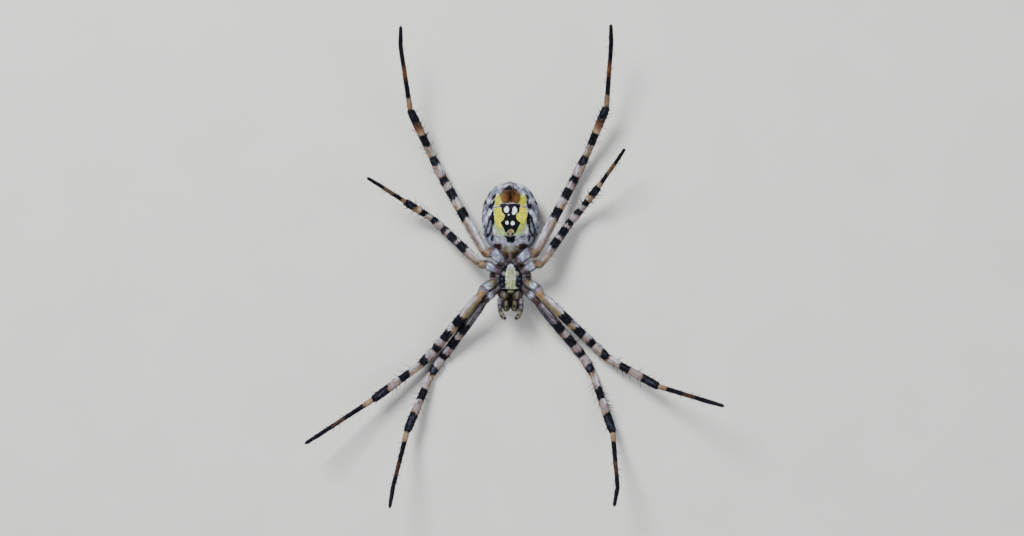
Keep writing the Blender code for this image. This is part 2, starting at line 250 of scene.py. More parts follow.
@dataclass(frozen=True)
class Plan:
    """A flat plan of a part: how far across and along it each point lies, in millimetres."""

    across: Array
    along: Array

    @property
    def folded(self) -> "Plan":
        """The plan with its left side folded over its right side."""
        return Plan(np.abs(self.across), self.along)

    def spot(self, x: float, y: float, wide: float, long: float) -> Array:
        """Depth inside an oval spot, from its middle and its half width and half length."""
        return (1 - np.hypot((self.across - x) / wide, (self.along - y) / long)) * min(wide, long)

    def streak(self, x: float, y: float, end_x: float, end_y: float, half: float) -> Array:
        """Draw a streak that is thinner at its round ends.

        Args:
            x, y: where it starts.
            end_x, end_y: where it ends.
            half: half its width.

        Returns:
            The depth of each point inside it.
        """
        u, v, run = self.across - x, self.along - y, np.array((end_x - x, end_y - y))
        t = np.clip((u * run[0] + v * run[1]) / run.dot(run), 0, 1)
        return half * (1 - 0.5 * np.abs(2 * t - 1) ** 3) - np.hypot(u - t * run[0], v - t * run[1])

    def patches(self, scale: float | Pair, seed: int, wrap: int = 64) -> Array:
        """Soft random patches.

        Args:
            scale: how many there are to a unit of the plan, or how many across and along.
            seed: which patches.
            wrap: how many there are across before they repeat.

        Returns:
            Values from 0 to 1.
        """
        knots = np.random.default_rng(seed).random((PATCH_ROWS, wrap))
        wide, long = np.broadcast_to(scale, 2)
        across, along = self.across * wide, self.along * long
        r, c = np.floor(along).astype(int), np.floor(across).astype(int)
        part_r, part_c = step(along - r, 0, 1), step(across - c, 0, 1)
        low, high = (
            knots[row % PATCH_ROWS, c % wrap] * (1 - part_c)
            + knots[row % PATCH_ROWS, (c + 1) % wrap] * part_c
            for row in (r, r + 1)
        )
        return low * (1 - part_r) + high * part_r

    def flecks(self, scale: float | Pair, seed: int, low: float, high: float) -> Array:
        """Random patches as shares: 0 where they are under low, and 1 where they are over high."""
        return step(self.patches(scale, seed), low, high)

    def wandering(self, seed: int, reach: float) -> "Plan":
        """The plan with its places moved to and fro, so that what is drawn on it has uneven edges.

        Args:
            seed: which moves.
            reach: how far the places move.

        Returns:
            The moved plan.
        """
        moved = []
        for k, place in enumerate((self.across, self.along)):
            broad, fine = self.patches(2.3, seed + k) - 0.5, self.patches(6.1, seed + 2 + k) - 0.5
            moved.append(place + reach * (2.2 * broad + 1.2 * fine))
        return Plan(*moved)


def pleats(points: Array, chest: Array) -> Array:
    """Pleats of soft skin that fan out from the middle of the chest.

    Args:
        points: the points of a surface.
        chest: the middle of the chest.

    Returns:
        The depth of each point inside a pleat.
    """
    side, ahead = np.abs(points[..., 0] - chest[0]), points[..., 1] - chest[1]
    turn = np.degrees(np.arctan2(ahead, side))
    depth = PLEAT_HALF - np.abs((turn + PLEAT_STEP / 4) % PLEAT_STEP - PLEAT_STEP / 2)
    depth = np.minimum(depth, (PLEAT_FAN - np.abs(turn)) * 0.5)
    return np.radians(depth) * np.hypot(side, ahead)


# ---- Reading the solids ----
def in_mm(box: tuple) -> tuple[Array, Array]:
    """A box's two corners, in millimetres."""
    low, high = (np.array(corner) / MM for corner in box)
    return low, high


class Solid:
    """A node of the frame, as welded points."""

    def __init__(self, node: str) -> None:
        """Read the node's points and its box.

        Args:
            node: the node's name.
        """
        grid = bmesh.new()
        grid.from_mesh(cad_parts[node].data)
        bmesh.ops.remove_doubles(grid, verts=grid.verts, dist=WELD * MM)
        self.points = np.array([tuple(vert.co) for vert in grid.verts]) / MM
        grid.free()
        self.low, self.high = in_mm(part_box(node))
        self.middle = (self.low + self.high) / 2

    def beyond(self, point: Array) -> Array:
        """Find a place well beyond one end of a limb.

        Args:
            point: a place near its other end.

        Returns:
            The place, on the limb's own line.
        """
        middle = self.points.mean(0)
        axis = np.linalg.svd(self.points - middle, full_matrices=False)[2][0]
        return middle - axis * np.sign(axis @ (point - middle)) * FAR

    def rings(self, size: int, start: Array) -> list[Array]:
        """The outlines along a limb.

        Args:
            size: how many points each outline has.
            start: a place off the end to start from.

        Returns:
            The points of each outline, in order from that end.
        """
        left, found = self.points, []
        while len(left):
            order = np.argsort(np.linalg.norm(left - start, axis=1))
            found.append(left[order[:size]])
            left, start = left[order[size:]], found[-1].mean(0)
        return found

    def levels(self, direction: Array, size: int) -> list[Array]:
        """The outlines square to a direction, in order.

        Args:
            direction: the way that they follow each other.
            size: the fewest points that an outline has.

        Returns:
            The points of each outline, in no order of their own.
        """
        place = self.points @ unit(np.array(direction, float))
        order = np.argsort(place)
        breaks = np.nonzero(np.diff(place[order]) > SAME_LEVEL)[0] + 1
        return [group for group in np.split(self.points[order], breaks) if len(group) >= size]

    def outlines(self, direction: Array, size: int) -> list[Array]:
        """The outlines square to a direction, with their points in order.

        Args:
            direction: the way that they follow each other.
            size: how many points each has.

        Returns:
            The points of each outline in turn round the direction, from the side that faces +X.
        """
        across = unit(np.cross(np.cross(direction, (1.0, 0.0, 0.0)), direction))
        over, found = np.cross(direction, across), []
        for ring in self.levels(direction, size):
            if len(ring) == size:
                arms = ring - ring.mean(0)
                angles = np.arctan2(arms @ over, arms @ across)
                order = np.argsort(angles)
                found.append(ring[np.roll(order, -np.argmin(np.abs(angles[order])))])
        return found


# ---- Surfaces ----
@dataclass
class Surface:
    """A closed shape as a grid: rows run along it, and columns go round it."""

    points: Array
    plot: Plot
    density: Amount = 0.0
    length: Amount = 0.25
    lift: Amount = 28.0
    silvery: float = 1.0

    def __post_init__(self) -> None:
        """Keep it off the floor, and start it black and without markings."""
        self.points[..., 2] = np.maximum(self.points[..., 2], FLOOR_GAP)
        self.ground = np.zeros(self.points.shape)
        self.marks = {mark: np.full(self.points.shape[:2], -1.0) for mark in Mark}

    @property
    def xyz(self) -> Array:
        """Where the points are across, along and up, as three grids."""
        return np.moveaxis(self.points, -1, 0)

    @property
    def along(self) -> Array:
        """The direction along the rows at each point."""
        return unit(np.gradient(self.points, axis=0))

    @property
    def normals(self) -> Array:
        """The direction out of the surface at each point."""
        normals = unit(np.cross(np.roll(self.points, -1, 1) - np.roll(self.points, 1, 1), self.along))
        return normals * np.sign((normals * (self.points - self.points.mean(1, keepdims=True))).sum())

    def paint(self, colour: Colour, share: Amount = 1.0) -> None:
        """Lay a colour over the ground, by that share at each point."""
        share = np.broadcast_to(share, self.points.shape[:2])[..., None]
        self.ground = self.ground + (np.array(colour) - self.ground) * share

    def add(self, mark: Mark, depth: Array) -> None:
        """Join a marking to what the surface has of its kind."""
        self.marks[mark] = np.maximum(self.marks[mark], depth)

    def press(self, depth: Array) -> None:
        """Move the surface out along its normals, or in where the depth is negative."""
        self.points = self.points + self.normals * depth[..., None]
        self.points[..., 2] = np.maximum(self.points[..., 2], FLOOR_GAP)

    def hairy(self, density: Amount, length: Amount, lift: Amount = 28.0, silvery: float = 1.0) -> "Surface":
        """Say how hair grows on it.

        Args:
            density: how many hairs there are to a square millimetre.
            length: how long they are.
            lift: how many degrees they rise by.
            silvery: how silvery the palest are.

        Returns:
            The surface itself.
        """
        self.density, self.length, self.lift, self.silvery = density, length, lift, silvery
        return self

    def unwrap(self, rows: Array, columns: Array, plot: Plot | None = None) -> Array:
        """Find places on the unwrap.

        Args:
            rows: their row numbers, which may be fractions.
            columns: their column numbers.
            plot: another plot of the unwrap to use.

        Returns:
            The places.
        """
        u0, v0, u1, v1 = plot or self.plot
        count, around = self.points.shape[:2]
        return np.stack((u0 + (u1 - u0) * rows / (count - 1), v0 + (v1 - v0) * columns / around), -1)


def arms_round(across: Array, over: Array, count: int) -> Array:
    """Arms of length one all round, for each pair of directions square to each other."""
    turn = turns(count)[:, None]
    return across[:, None] * np.cos(turn) + over[:, None] * np.sin(turn)


def tube(path: Array, radii: Array, columns: int) -> Array:
    """Round outlines square to a path.

    Args:
        path: the middle of each outline.
        radii: how wide each is.
        columns: how many points each has.

    Returns:
        The grid of points, from the path's right-hand side over its upper side.
    """
    facing = unit(np.gradient(path, axis=0))
    across = unit(np.cross(facing, UP))
    return path[:, None] + arms_round(across, np.cross(across, facing), columns) * radii[:, None, None]


def stacked(rings: list[Array], rows: int, columns: int, inset: float) -> Array:
    """A soft shape through ordered outlines, rounded over at its last one.

    Args:
        rings: the outlines, each with the same number of points.
        rows: how many outlines the soft shape has up to the last one.
        columns: how many points each has.
        inset: how far the soft shape lies inside the outlines.

    Returns:
        The grid of points, closed towards the middle of the last outline.
    """
    keys, centres, _ = spine(rings)
    grid = through(keys, np.array([rounded(ring, columns) for ring in rings]), np.linspace(0, keys[-1], rows))
    middles = grid.mean(1, keepdims=True)
    arms = grid - middles
    grid = middles + arms * np.maximum(1 - inset / np.linalg.norm(arms, axis=2, keepdims=True), 0.3)
    last, middle = grid[-1], grid[-1].mean(0)
    dome = unit(centres[-1] - centres[-2]) * DOME * np.linalg.norm(last - middle, axis=1).mean()
    shares = 1 - np.linspace(0, 1, rows // 2 + 2)[1:]
    cap = [middle + (last - middle) * max(share, 0.01) + dome * (1 - share**2) for share in shares]
    return np.concatenate((grid, cap))


def stations(low: float, high: float, rows: int, bluntness: float) -> tuple[Array, Array]:
    """Places along the body, closer together near its two ends.

    Args:
        low: the place of its front end.
        high: the place of its back end.
        rows: how many places.
        bluntness: how late the body closes towards its ends.

    Returns:
        The places, and how full the body is at each of them.
    """
    cosines = np.cos(np.linspace(0, math.pi, rows))
    closing = np.sqrt(np.maximum(1 - np.abs(cosines) ** bluntness, THINNEST))
    return (high + low) / 2 - (high - low) / 2 * cosines, closing


def egg(along: Array, middle: float, width: Array, low: Array, level: Array, high: Array,
        columns: int, fullness: float) -> Array:
    """Full ovals across the body.

    Args:
        along: the place of each along Y.
        middle: the body's midline.
        width: half the width of each.
        low: how far each reaches under its widest line.
        level: the height of that line.
        high: how far each reaches over it.
        columns: how many points each has.
        fullness: 2 for an ellipse, and more for a squarer outline.

    Returns:
        The grid of points, from the +X side over the belly.
    """
    rise = powered(np.sin(turns(columns)), 2 / fullness)[None]
    x = middle + width[:, None] * powered(np.cos(turns(columns)), 2 / fullness)[None]
    z = level[:, None] + np.where(rise > 0, high[:, None], low[:, None]) * rise
    return np.stack((x, np.broadcast_to(along[:, None], x.shape), z), -1)


# ---- Making meshes ----
@dataclass
class Stock:
    """Points, faces, unwrap and markings gathered for one mesh."""

    batches: list[tuple[Array, ...]] = field(default_factory=list)
    values: dict[str, list[Array]] = field(default_factory=dict)
    count: int = 0

    def put(self, points: Array, corners: Array, sizes: Array, places: Array, values: dict) -> None:
        """Add a batch of points and faces.

        Args:
            points: the points.
            corners: each face's corners in turn, counted from the batch's own first point.
            sizes: how many corners each face has.
            places: each corner's place on the unwrap.
            values: what each point carries, by name.
        """
        self.batches.append((points, corners + self.count, sizes, places))
        for name, value in values.items():
            self.values.setdefault(name, []).append(value)
        self.count += len(points)

    def put_surface(self, surface: Surface) -> "Stock":
        """Add a surface, with its two ends closed.

        Args:
            surface: the surface to add.

        Returns:
            The stock itself.
        """
        grid, (rows, columns) = surface.points, surface.points.shape[:2]
        outwards = np.cross((np.roll(grid, -1, 1) - grid)[:-1], np.diff(grid, axis=0))
        way = -1 if (outwards * (grid - grid.mean(1, keepdims=True))[:-1]).sum() < 0 else 1
        r, c = (part.reshape(-1, 1) for part in np.mgrid[0 : rows - 1, 0:columns])
        quad_r, quad_c = r + np.array((0, 0, 1, 1))[::way], c + np.array((0, 1, 1, 0))[::way]
        ring = np.arange(columns)
        ends = np.r_[ring[::-way], ring[::way] + (rows - 1) * columns]
        values = {mark.value: surface.marks[mark].ravel() for mark in Mark}
        self.put(
            grid.reshape(-1, 3),
            np.r_[(quad_r * columns + quad_c % columns).ravel(), ends],
            np.repeat((4, columns), (len(r), 2)),
            surface.unwrap(np.r_[quad_r.ravel(), ends // columns], np.r_[quad_c.ravel(), ends % columns]),
            values | {"ground": surface.ground.reshape(-1, 3)},
        )
        return self

    def make(self, name: str) -> bpy.types.Object:
        """Make the gathered mesh.

        Args:
            name: the piece's name.

        Returns:
            The piece, shaded smooth.
        """
        points, corners, sizes, places = (np.concatenate(parts) for parts in zip(*self.batches))
        mesh = bpy.data.meshes.new(name)
        mesh.vertices.add(len(points))
        mesh.vertices.foreach_set("co", (points * MM).ravel().astype(np.float32))
        mesh.loops.add(len(corners))
        mesh.loops.foreach_set("vertex_index", corners.astype(np.int32))
        mesh.polygons.add(len(sizes))
        mesh.polygons.foreach_set("loop_start", np.r_[0, np.cumsum(sizes)[:-1]].astype(np.int32))
        mesh.update(calc_edges=True)
        mesh.uv_layers.new(name=UNWRAP).data.foreach_set("uv", places.ravel().astype(np.float32))
        for key, parts in self.values.items():
            value = np.concatenate(parts).astype(np.float32)
            if value.ndim == 2:
                layer = mesh.attributes.new(key, "FLOAT_COLOR", "POINT")
                layer.data.foreach_set("color", np.c_[value, np.ones(len(value))].ravel())
            else:
                mesh.attributes.new(key, "FLOAT", "POINT").data.foreach_set("value", value)
        mesh.shade_smooth()
        piece = bpy.data.objects.new(name, mesh)
        bpy.context.scene.collection.objects.link(piece)
        log.info("%s: %d faces", name, len(sizes))
        return piece


def settle(piece: bpy.types.Object, material: bpy.types.Material, slot: str, *nodes: str) -> None:
    """Settle what a piece is.

    Args:
        piece: the piece, which rides on the spider's one body.
        material: its finish.
        slot: the record's slot that the finish belongs to; not used.
        nodes: the solids that it stands for, if any.
    """
    piece.data.materials.append(material)
    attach(piece, BODY)
    if nodes:
        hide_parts(*nodes)


# ---- Shader tools ----
class Wire:
    """A node's output that can be used in sums; each operator adds one Math node."""

    def __init__(self, graph: "Graph", socket: bpy.types.NodeSocket) -> None:
        """Keep the output and the nodes it belongs to."""
        self.graph = graph
        self.socket = socket

    def _math(self, operation: str, first: "Wire | float", second: "Wire | float") -> "Wire":
        """The result of one Math node."""
        return self.graph.node("ShaderNodeMath", {"operation": operation}, {0: first, 1: second})

    def __add__(self, other: "Wire | float") -> "Wire":
        """This value plus another."""
        return self._math("ADD", self, other)

    def __sub__(self, other: "Wire | float") -> "Wire":
        """This value less another."""
        return self._math("SUBTRACT", self, other)

    def __rsub__(self, other: float) -> "Wire":
        """A number less this value."""
        return self._math("SUBTRACT", other, self)

    def __mul__(self, other: "Wire | float") -> "Wire":
        """This value times another."""
        return self._math("MULTIPLY", self, other)

    __radd__, __rmul__ = __add__, __mul__

    def held(self) -> "Wire":
        """This value kept between 0 and 1."""
        return self.graph.node("ShaderNodeClamp", {}, {"Value": self})


class Graph:
    """A material's nodes, with one way to add each of them."""

    def __init__(self, name: str, **constants: float) -> None:
        """Start a material.

        Args:
            name: its name.
            constants: numbers for the shader's sockets.
        """
        self.material = bpy.data.materials.new(name)
        self.material.use_nodes = True
        self.tree = self.material.node_tree
        self.finish(**constants)

    def feed(self, socket: bpy.types.NodeSocket, value: object) -> None:
        """Link a wire to a socket, or set the socket's own value.

        Args:
            socket: the socket.
            value: a wire, a number or a colour.
        """
        if isinstance(value, Wire):
            self.tree.links.new(value.socket, socket)
        elif isinstance(value, tuple) and socket.type == "RGBA":
            socket.default_value = (*value, 1.0)
        else:
            socket.default_value = value

    def node(self, kind: str, settings: dict, values: dict, output: int | str = 0) -> Wire:
        """Add a node.

        Args:
            kind: the node's type.
            settings: its own settings, made before its sockets are fed.
            values: a value or a wire for each socket, by name or number.
            output: the socket to take from it.

        Returns:
            The wire from that output.
        """
        made = self.tree.nodes.new(kind)
        for key, value in settings.items():
            setattr(made, key, value)
        for key, value in values.items():
            self.feed(made.inputs[key], value)
        return Wire(self, made.outputs[output])

    def mix(self, share: Wire | float, first: object, second: object, how: str = "MIX") -> Wire:
        """Two colours mixed: all first at share 0, and all second at share 1."""
        settings = {"data_type": "RGBA", "blend_type": how}
        return self.node("ShaderNodeMix", settings, {0: share, 6: first, 7: second}, 2)

    def kept(self, name: str, output: str = "Fac") -> Wire:
        """A value or colour kept over the mesh."""
        return self.node("ShaderNodeAttribute", {"attribute_name": name}, {}, output)

    def _spread(self, kind: str, size: float, output: str, **values: float) -> Wire:
        """A texture whose parts are about that many millimetres across."""
        place = self.node("ShaderNodeTexCoord", {}, {}, "Object")
        return self.node(kind, {}, {"Vector": place, "Scale": 1 / (size * MM), **values}, output)

    def grain(self, size: float, detail: float = 2.0) -> Wire:
        """Soft noise whose grains are about that many millimetres across."""
        return self._spread("ShaderNodeTexNoise", size, "Fac", Detail=detail)

    def cells(self, size: float) -> Wire:
        """Cells about that many millimetres across: how far a point is from its cell's middle."""
        return self._spread("ShaderNodeTexVoronoi", size, "Distance")

    def edge(self, mark: Mark, softness: float, wobble: Wire | float = 0.0) -> Wire:
        """Where a marking lies: 1 inside it and 0 outside, with an edge that wobble roughens."""
        return ((self.kept(mark.value) + wobble) * (1 / softness) + 0.5).held()

    def bump(self, height: Wire, strength: float, depth: float) -> None:
        """Raise the surface by a height, up to that many millimetres."""
        values = {"Height": height, "Strength": strength, "Distance": depth * MM}
        self.finish(Normal=self.node("ShaderNodeBump", {}, values))

    def finish(self, **values: Wire | float) -> bpy.types.Material:
        """Feed the shader's sockets.

        Args:
            values: a wire or a number for each, by its name with _ for a space.

        Returns:
            The material.
        """
        for socket, value in values.items():
            self.feed(self.tree.nodes["Principled BSDF"].inputs[socket.replace("_", " ")], value)
        return self.material


# ---- Finishes ----
@dataclass(frozen=True)
class SkinFinish:
    """The body's skin: mottled ground, granular yellow, crisp black and chalky white."""

    name: str = "spider_skin"
    gold: Colour = (0.78, 0.72, 0.03)
    gold_deep: Colour = (0.35, 0.34, 0.01)
    worn: Colour = (0.52, 0.49, 0.47)
    fresh: Colour = (1.38, 1.38, 1.42)
    mottle: float = 0.7
    fine: float = 0.06
    granule: float = 0.22
    softness: float = 0.04
    ragged: float = 0.16

    def make(self) -> bpy.types.Material:
        """Build the material.

        Returns:
            The material.
        """
        graph = Graph(self.name, Specular_IOR_Level=0.08)
        fine, mottle = graph.grain(self.fine, 3.0), graph.grain(self.mottle, 3.0)
        wobble = (graph.grain(0.22, 2.0) - 0.5) * self.ragged
        dark = graph.edge(Mark.DARK, self.softness, wobble)
        pale = graph.edge(Mark.PALE, self.softness * 1.5, wobble)
        gold = graph.edge(Mark.GOLD, self.softness * 1.5, wobble)
        granule = graph.cells(self.granule)
        tone = graph.mix((mottle * 1.7 + fine * 1.1 - 0.9).held(), self.worn, self.fresh)
        base = graph.mix(1.0, graph.kept("ground", "Color"), tone, "MULTIPLY")
        broad = (graph.grain(1.3) * 3.0 - 1.2).held() * 0.35
        yellow = graph.mix((granule * 1.9 - 0.3).held() + broad, self.gold, self.gold_deep)
        rim = (1 - graph.kept("gold") * 6).held() * 0.55
        base = graph.mix(gold, base, graph.mix((mottle * 2.4 - 1.3 + rim).held(), yellow, CREAM))
        base = graph.mix(pale, base, graph.mix((granule * 0.6 - 0.1).held(), WHITE, SILVER))
        base = graph.mix(dark, base, graph.mix((fine * 2.2 - 1.0).held(), BLACK, BLUE_BLACK))
        graph.bump(fine + granule * 0.6 * (1 - dark) + mottle * 0.5, 0.55, 0.03)
        return graph.finish(Base_Color=base, Roughness=0.58 - dark * 0.08 + (fine - 0.5) * 0.25)


@dataclass(frozen=True)
class CoatFinish:
    """Silky hairs that carry the colour of the skin they grow from, paler and brighter."""

    name: str = "silky_hair"
    pale: Colour = (0.86, 0.89, 0.97)
    dark: Colour = (0.004, 0.004, 0.010)
    glint: Colour = (0.115, 0.125, 0.22)
    silver: Colour = (0.46, 0.48, 0.58)
    gold: Colour = (0.66, 0.60, 0.03)
    softness: tuple[float, float, float] = (0.05, 0.08, 0.08)

    def make(self) -> bpy.types.Material:
        """Build the material.

        Returns:
            The material.
        """
        graph = Graph(self.name, Specular_IOR_Level=0.15)
        shade = graph.kept("shade")
        dark, pale, gold = (graph.edge(mark, softness) for mark, softness in zip(Mark, self.softness))
        ground = graph.kept("ground", "Color")
        base = graph.mix((shade * 2.2 - 1.3).held() * 0.8, ground, self.silver)
        base = graph.mix((0.55 - shade * 2.0).held(), base, graph.mix(0.75, base, self.dark))
        base = graph.mix(gold, base, graph.mix(shade, self.gold, CREAM))
        base = graph.mix(pale, base, self.pale)
        base = graph.mix(dark, base, graph.mix((shade * 4.0 - 3.3).held(), self.dark, self.glint))
        streaks = graph.grain(0.05)
        base = graph.mix(1.0, base, graph.mix(streaks, (0.8, 0.8, 0.8), (1.15, 1.15, 1.15)), "MULTIPLY")
        return graph.finish(Base_Color=base, Roughness=0.5 - streaks * 0.15)


@dataclass(frozen=True)
class HornFinish:
    """Hard dark horn: bristles, fangs and claws."""

    name: str = "horn"
    deep: Colour = (0.005, 0.004, 0.004)
    light: Colour = (0.035, 0.014, 0.007)
    roughness: float = 0.3
    ridge: float = 0.05

    def make(self) -> bpy.types.Material:
        """Build the material.

        Returns:
            The material.
        """
        graph = Graph(self.name, Specular_IOR_Level=0.35)
        ridges = graph.grain(self.ridge)
        graph.bump(ridges, 0.3, 0.01)
        base = graph.mix((graph.grain(0.6) * 1.6 - 0.5).held(), self.deep, self.light)
        return graph.finish(Base_Color=base, Roughness=self.roughness + (ridges - 0.5) * 0.2)


@dataclass(frozen=True)
class EyeFinish:
    """A wet dark eye with an amber depth."""

    name: str = "eye"
    deep: Colour = (0.002, 0.0015, 0.0015)
    amber: Colour = (0.014, 0.006, 0.003)

    def make(self) -> bpy.types.Material:
        """Build the material.

        Returns:
            The material.
        """
        graph = Graph(self.name, Coat_Weight=0.2, Coat_Roughness=0.02, Specular_IOR_Level=0.3)
        depth = graph.grain(0.12)
        base = graph.mix((depth * 1.4 - 0.45).held(), self.deep, self.amber)
        return graph.finish(Base_Color=base, Roughness=0.06 + depth * 0.06)


@dataclass(frozen=True)
class FloorFinish:
    """A plain pale floor."""

    name: str = "pale_floor"
    low: Colour = (0.60, 0.59, 0.57)
    high: Colour = (0.66, 0.65, 0.63)

    def make(self) -> bpy.types.Material:
        """Build the material.

        Returns:
            The material.
        """
        graph = Graph(self.name, Specular_IOR_Level=0.2)
        tone = graph.grain(9.0, 1.0)
        return graph.finish(Base_Color=graph.mix(tone, self.low, self.high), Roughness=0.75 + tone * 0.1)


# ---- Hairs and bristles ----
@dataclass
class Spikes:
    """Thin tapered hairs that bend as they rise from their roots."""

    sides: int
    joints: int
    # How far across a hair's patch is on the unwrap, and how much smaller it is at the tip.
    patch: float = 0.003
    narrowing: float = 0.6
    taper: float = 0.8
    headroom: float = 0.1

    def shape(self, roots: Array, heading: Array, bend: Array, lengths: Array, radii: Array) -> Array:
        """Shape hairs.

        Args:
            roots: where each starts.
            heading: the way each starts out.
            bend: how that way changes up to its tip.
            lengths: how long each is.
            radii: how thick each root is.

        Returns:
            The points of each hair: rings from its root up, then its tip.
        """
        side = unit(np.cross(heading, UP + heading[:, ::-1] * 0.3))
        arms = arms_round(side, np.cross(heading, side), self.sides)
        rings = []
        for share in np.arange(self.joints) / self.joints:
            centre = roots + (heading * share + bend * share**2) * lengths[:, None]
            rings.append(centre[:, None] + arms * (radii * (1 - share) ** self.taper)[:, None, None])
        tip = roots + (heading + bend) * lengths[:, None]
        points = np.concatenate((*rings, tip[:, None]), axis=1)
        points[..., 2] = np.clip(points[..., 2], FLOOR_GAP, CAD_BOX[1][2] / MM + self.headroom)
        return points

    def faces(self) -> tuple[Array, Array]:
        """Find one hair's faces.

        Returns:
            Their corners in turn, and how many each has.
        """
        k = np.arange(self.sides)
        n = (k + 1) % self.sides
        wall = np.stack((k, n, n + self.sides, k + self.sides), 1).ravel()
        top = (self.joints - 1) * self.sides
        cone = np.stack((k + top, n + top, np.full(self.sides, top + self.sides)), 1).ravel()
        corners = np.r_[k[::-1], (wall + np.arange(self.joints - 1)[:, None] * self.sides).ravel(), cone]
        return corners, np.repeat((self.sides, 4, 3), (1, top, self.sides))

    def grow(self, stock: Stock, places: Array, values: dict[str, Array], *form: Array) -> None:
        """Add hairs to a mesh.

        Args:
            stock: the mesh to add to.
            places: where each root is on the unwrap.
            values: what each hair carries, one row for each.
            form: what shape() asks for.
        """
        shape = self.shape(*form)
        count, points = shape.shape[:2]
        corners, sizes = self.faces()
        turn = turns(self.sides)
        ring = np.stack((np.cos(turn), np.sin(turn)), 1) * self.patch / 2
        reach = 1 - self.narrowing * np.arange(self.joints) / self.joints
        offsets = np.concatenate(((ring * reach[:, None, None]).reshape(-1, 2), np.zeros((1, 2))))
        stock.put(
            shape.reshape(-1, 3),
            (corners + np.arange(count)[:, None] * points).ravel(),
            np.tile(sizes, count),
            (places[:, None] + offsets[corners]).reshape(-1, 2),
            {name: np.repeat(value, points, axis=0) for name, value in values.items()},
        )


@dataclass
class Coat:
    """The silky hairs over some surfaces, as one piece."""

    name: str
    surfaces: list[Surface]
    slot: str
    seed: int
    radius: float = 0.016
    root_depth: float = 0.02
    margin: float = 0.004
    # How far hairs stray to the side, in radians, and how unevenly they rise, in degrees.
    unruly: float = 0.30
    uneven: float = 7.0
    bend: float = 0.28
    bend_range: Pair = (0.5, 1.6)
    length_range: Pair = (0.65, 1.2)
    radius_range: Pair = (0.75, 1.2)
    hair: Spikes = field(default_factory=lambda: Spikes(sides=3, joints=2))

    def build(self, material: bpy.types.Material) -> None:
        """Grow the hairs and dress them.

        Args:
            material: their finish.
        """
        rng, stock = np.random.default_rng(self.seed), Stock()
        # Each surface's hairs have a strip of the map to themselves.
        heights = np.sqrt([self._wanted(surface).sum() for surface in self.surfaces])
        edges = np.r_[0, np.cumsum(heights / heights.sum())]
        for surface, low, high in zip(self.surfaces, edges, edges[1:]):
            strip = (self.margin, low + self.margin, 1 - self.margin, high - self.margin)
            self._cover(stock, surface, strip, rng)
        settle(stock.make(self.name), material, self.slot)

    def _wanted(self, surface: Surface) -> Array:
        """How many hairs the cells of a surface's grid should have.

        Args:
            surface: the surface.

        Returns:
            A number for each cell.
        """
        grid = surface.points
        area = np.linalg.norm(np.cross(grid[1:] - grid[:-1], (np.roll(grid, -1, 1) - grid)[:-1]), axis=2)
        return area * np.broadcast_to(surface.density, grid.shape[:2])[:-1]

    def _cover(self, stock: Stock, surface: Surface, strip: Plot, rng: np.random.Generator) -> None:
        """Grow hairs over one surface, as thick as its density says.

        Args:
            stock: the mesh to add to.
            surface: what they grow from.
            strip: their part of the unwrap.
            rng: where chance comes from.
        """
        points, columns = surface.points, surface.points.shape[1]
        wanted = self._wanted(surface)
        total = int(wanted.sum())
        cells = rng.choice(wanted.size, size=total, p=wanted.ravel() / wanted.sum())
        part_r, part_c = rng.random(total), rng.random(total)
        r, c = cells // columns, cells % columns
        weights = [row * column for row in (1 - part_r, part_r) for column in (1 - part_c, part_c)]

        def between(grid: Amount) -> Array:
            """A grid's values at the roots.

            Args:
                grid: one value for each point of the surface, or one for all.

            Returns:
                One value for each root.
            """
            grid = np.broadcast_to(grid, points.shape[:2] + np.shape(grid)[2:])
            corners = [grid[row, column % columns] for row in (r, r + 1) for column in (c, c + 1)]
            return sum(w.reshape((-1,) + (1,) * (grid.ndim - 2)) * v for w, v in zip(weights, corners))

        normal, along = unit(between(surface.normals)), unit(between(surface.along))
        stray = rng.normal(0, self.unruly, total)[:, None]
        lie = unit(along * np.cos(stray) + np.cross(normal, along) * np.sin(stray))
        lift = np.radians(between(surface.lift) + rng.normal(0, self.uneven, total))[:, None]
        values = {mark.value: between(surface.marks[mark]) for mark in Mark}
        values["ground"] = between(surface.ground)
        form = (
            between(points) - normal * self.root_depth,
            lie * np.cos(lift) + normal * np.sin(lift),
            -normal * np.sin(lift) * self.bend * rng.uniform(*self.bend_range, (total, 1)),
            between(surface.length) * rng.uniform(*self.length_range, total),
            self.radius * rng.uniform(*self.radius_range, total),
        )
        values["shade"] = rng.random(total) * surface.silvery
        self.hair.grow(stock, surface.unwrap(r + part_r, c + part_c, strip), values, *form)


# ---- Legs ----
PAIRS = (1, 2, 3, 4)
LEG_NODES = ("coxa", "femur", "tibia", "foot")
LIMB_POINTS = 10
SMALL_POINTS = 12
FANG_POINTS = 8
# The outline, counted along the whole leg, at which each segment starts, and the last one.
SEGMENT_STARTS = {
    "coxa": 0, "trochanter": 3, "femur": 6, "patella": 13,
    "tibia": 17, "metatarsus": 23, "tarsus": 27, "tip": 31,
}
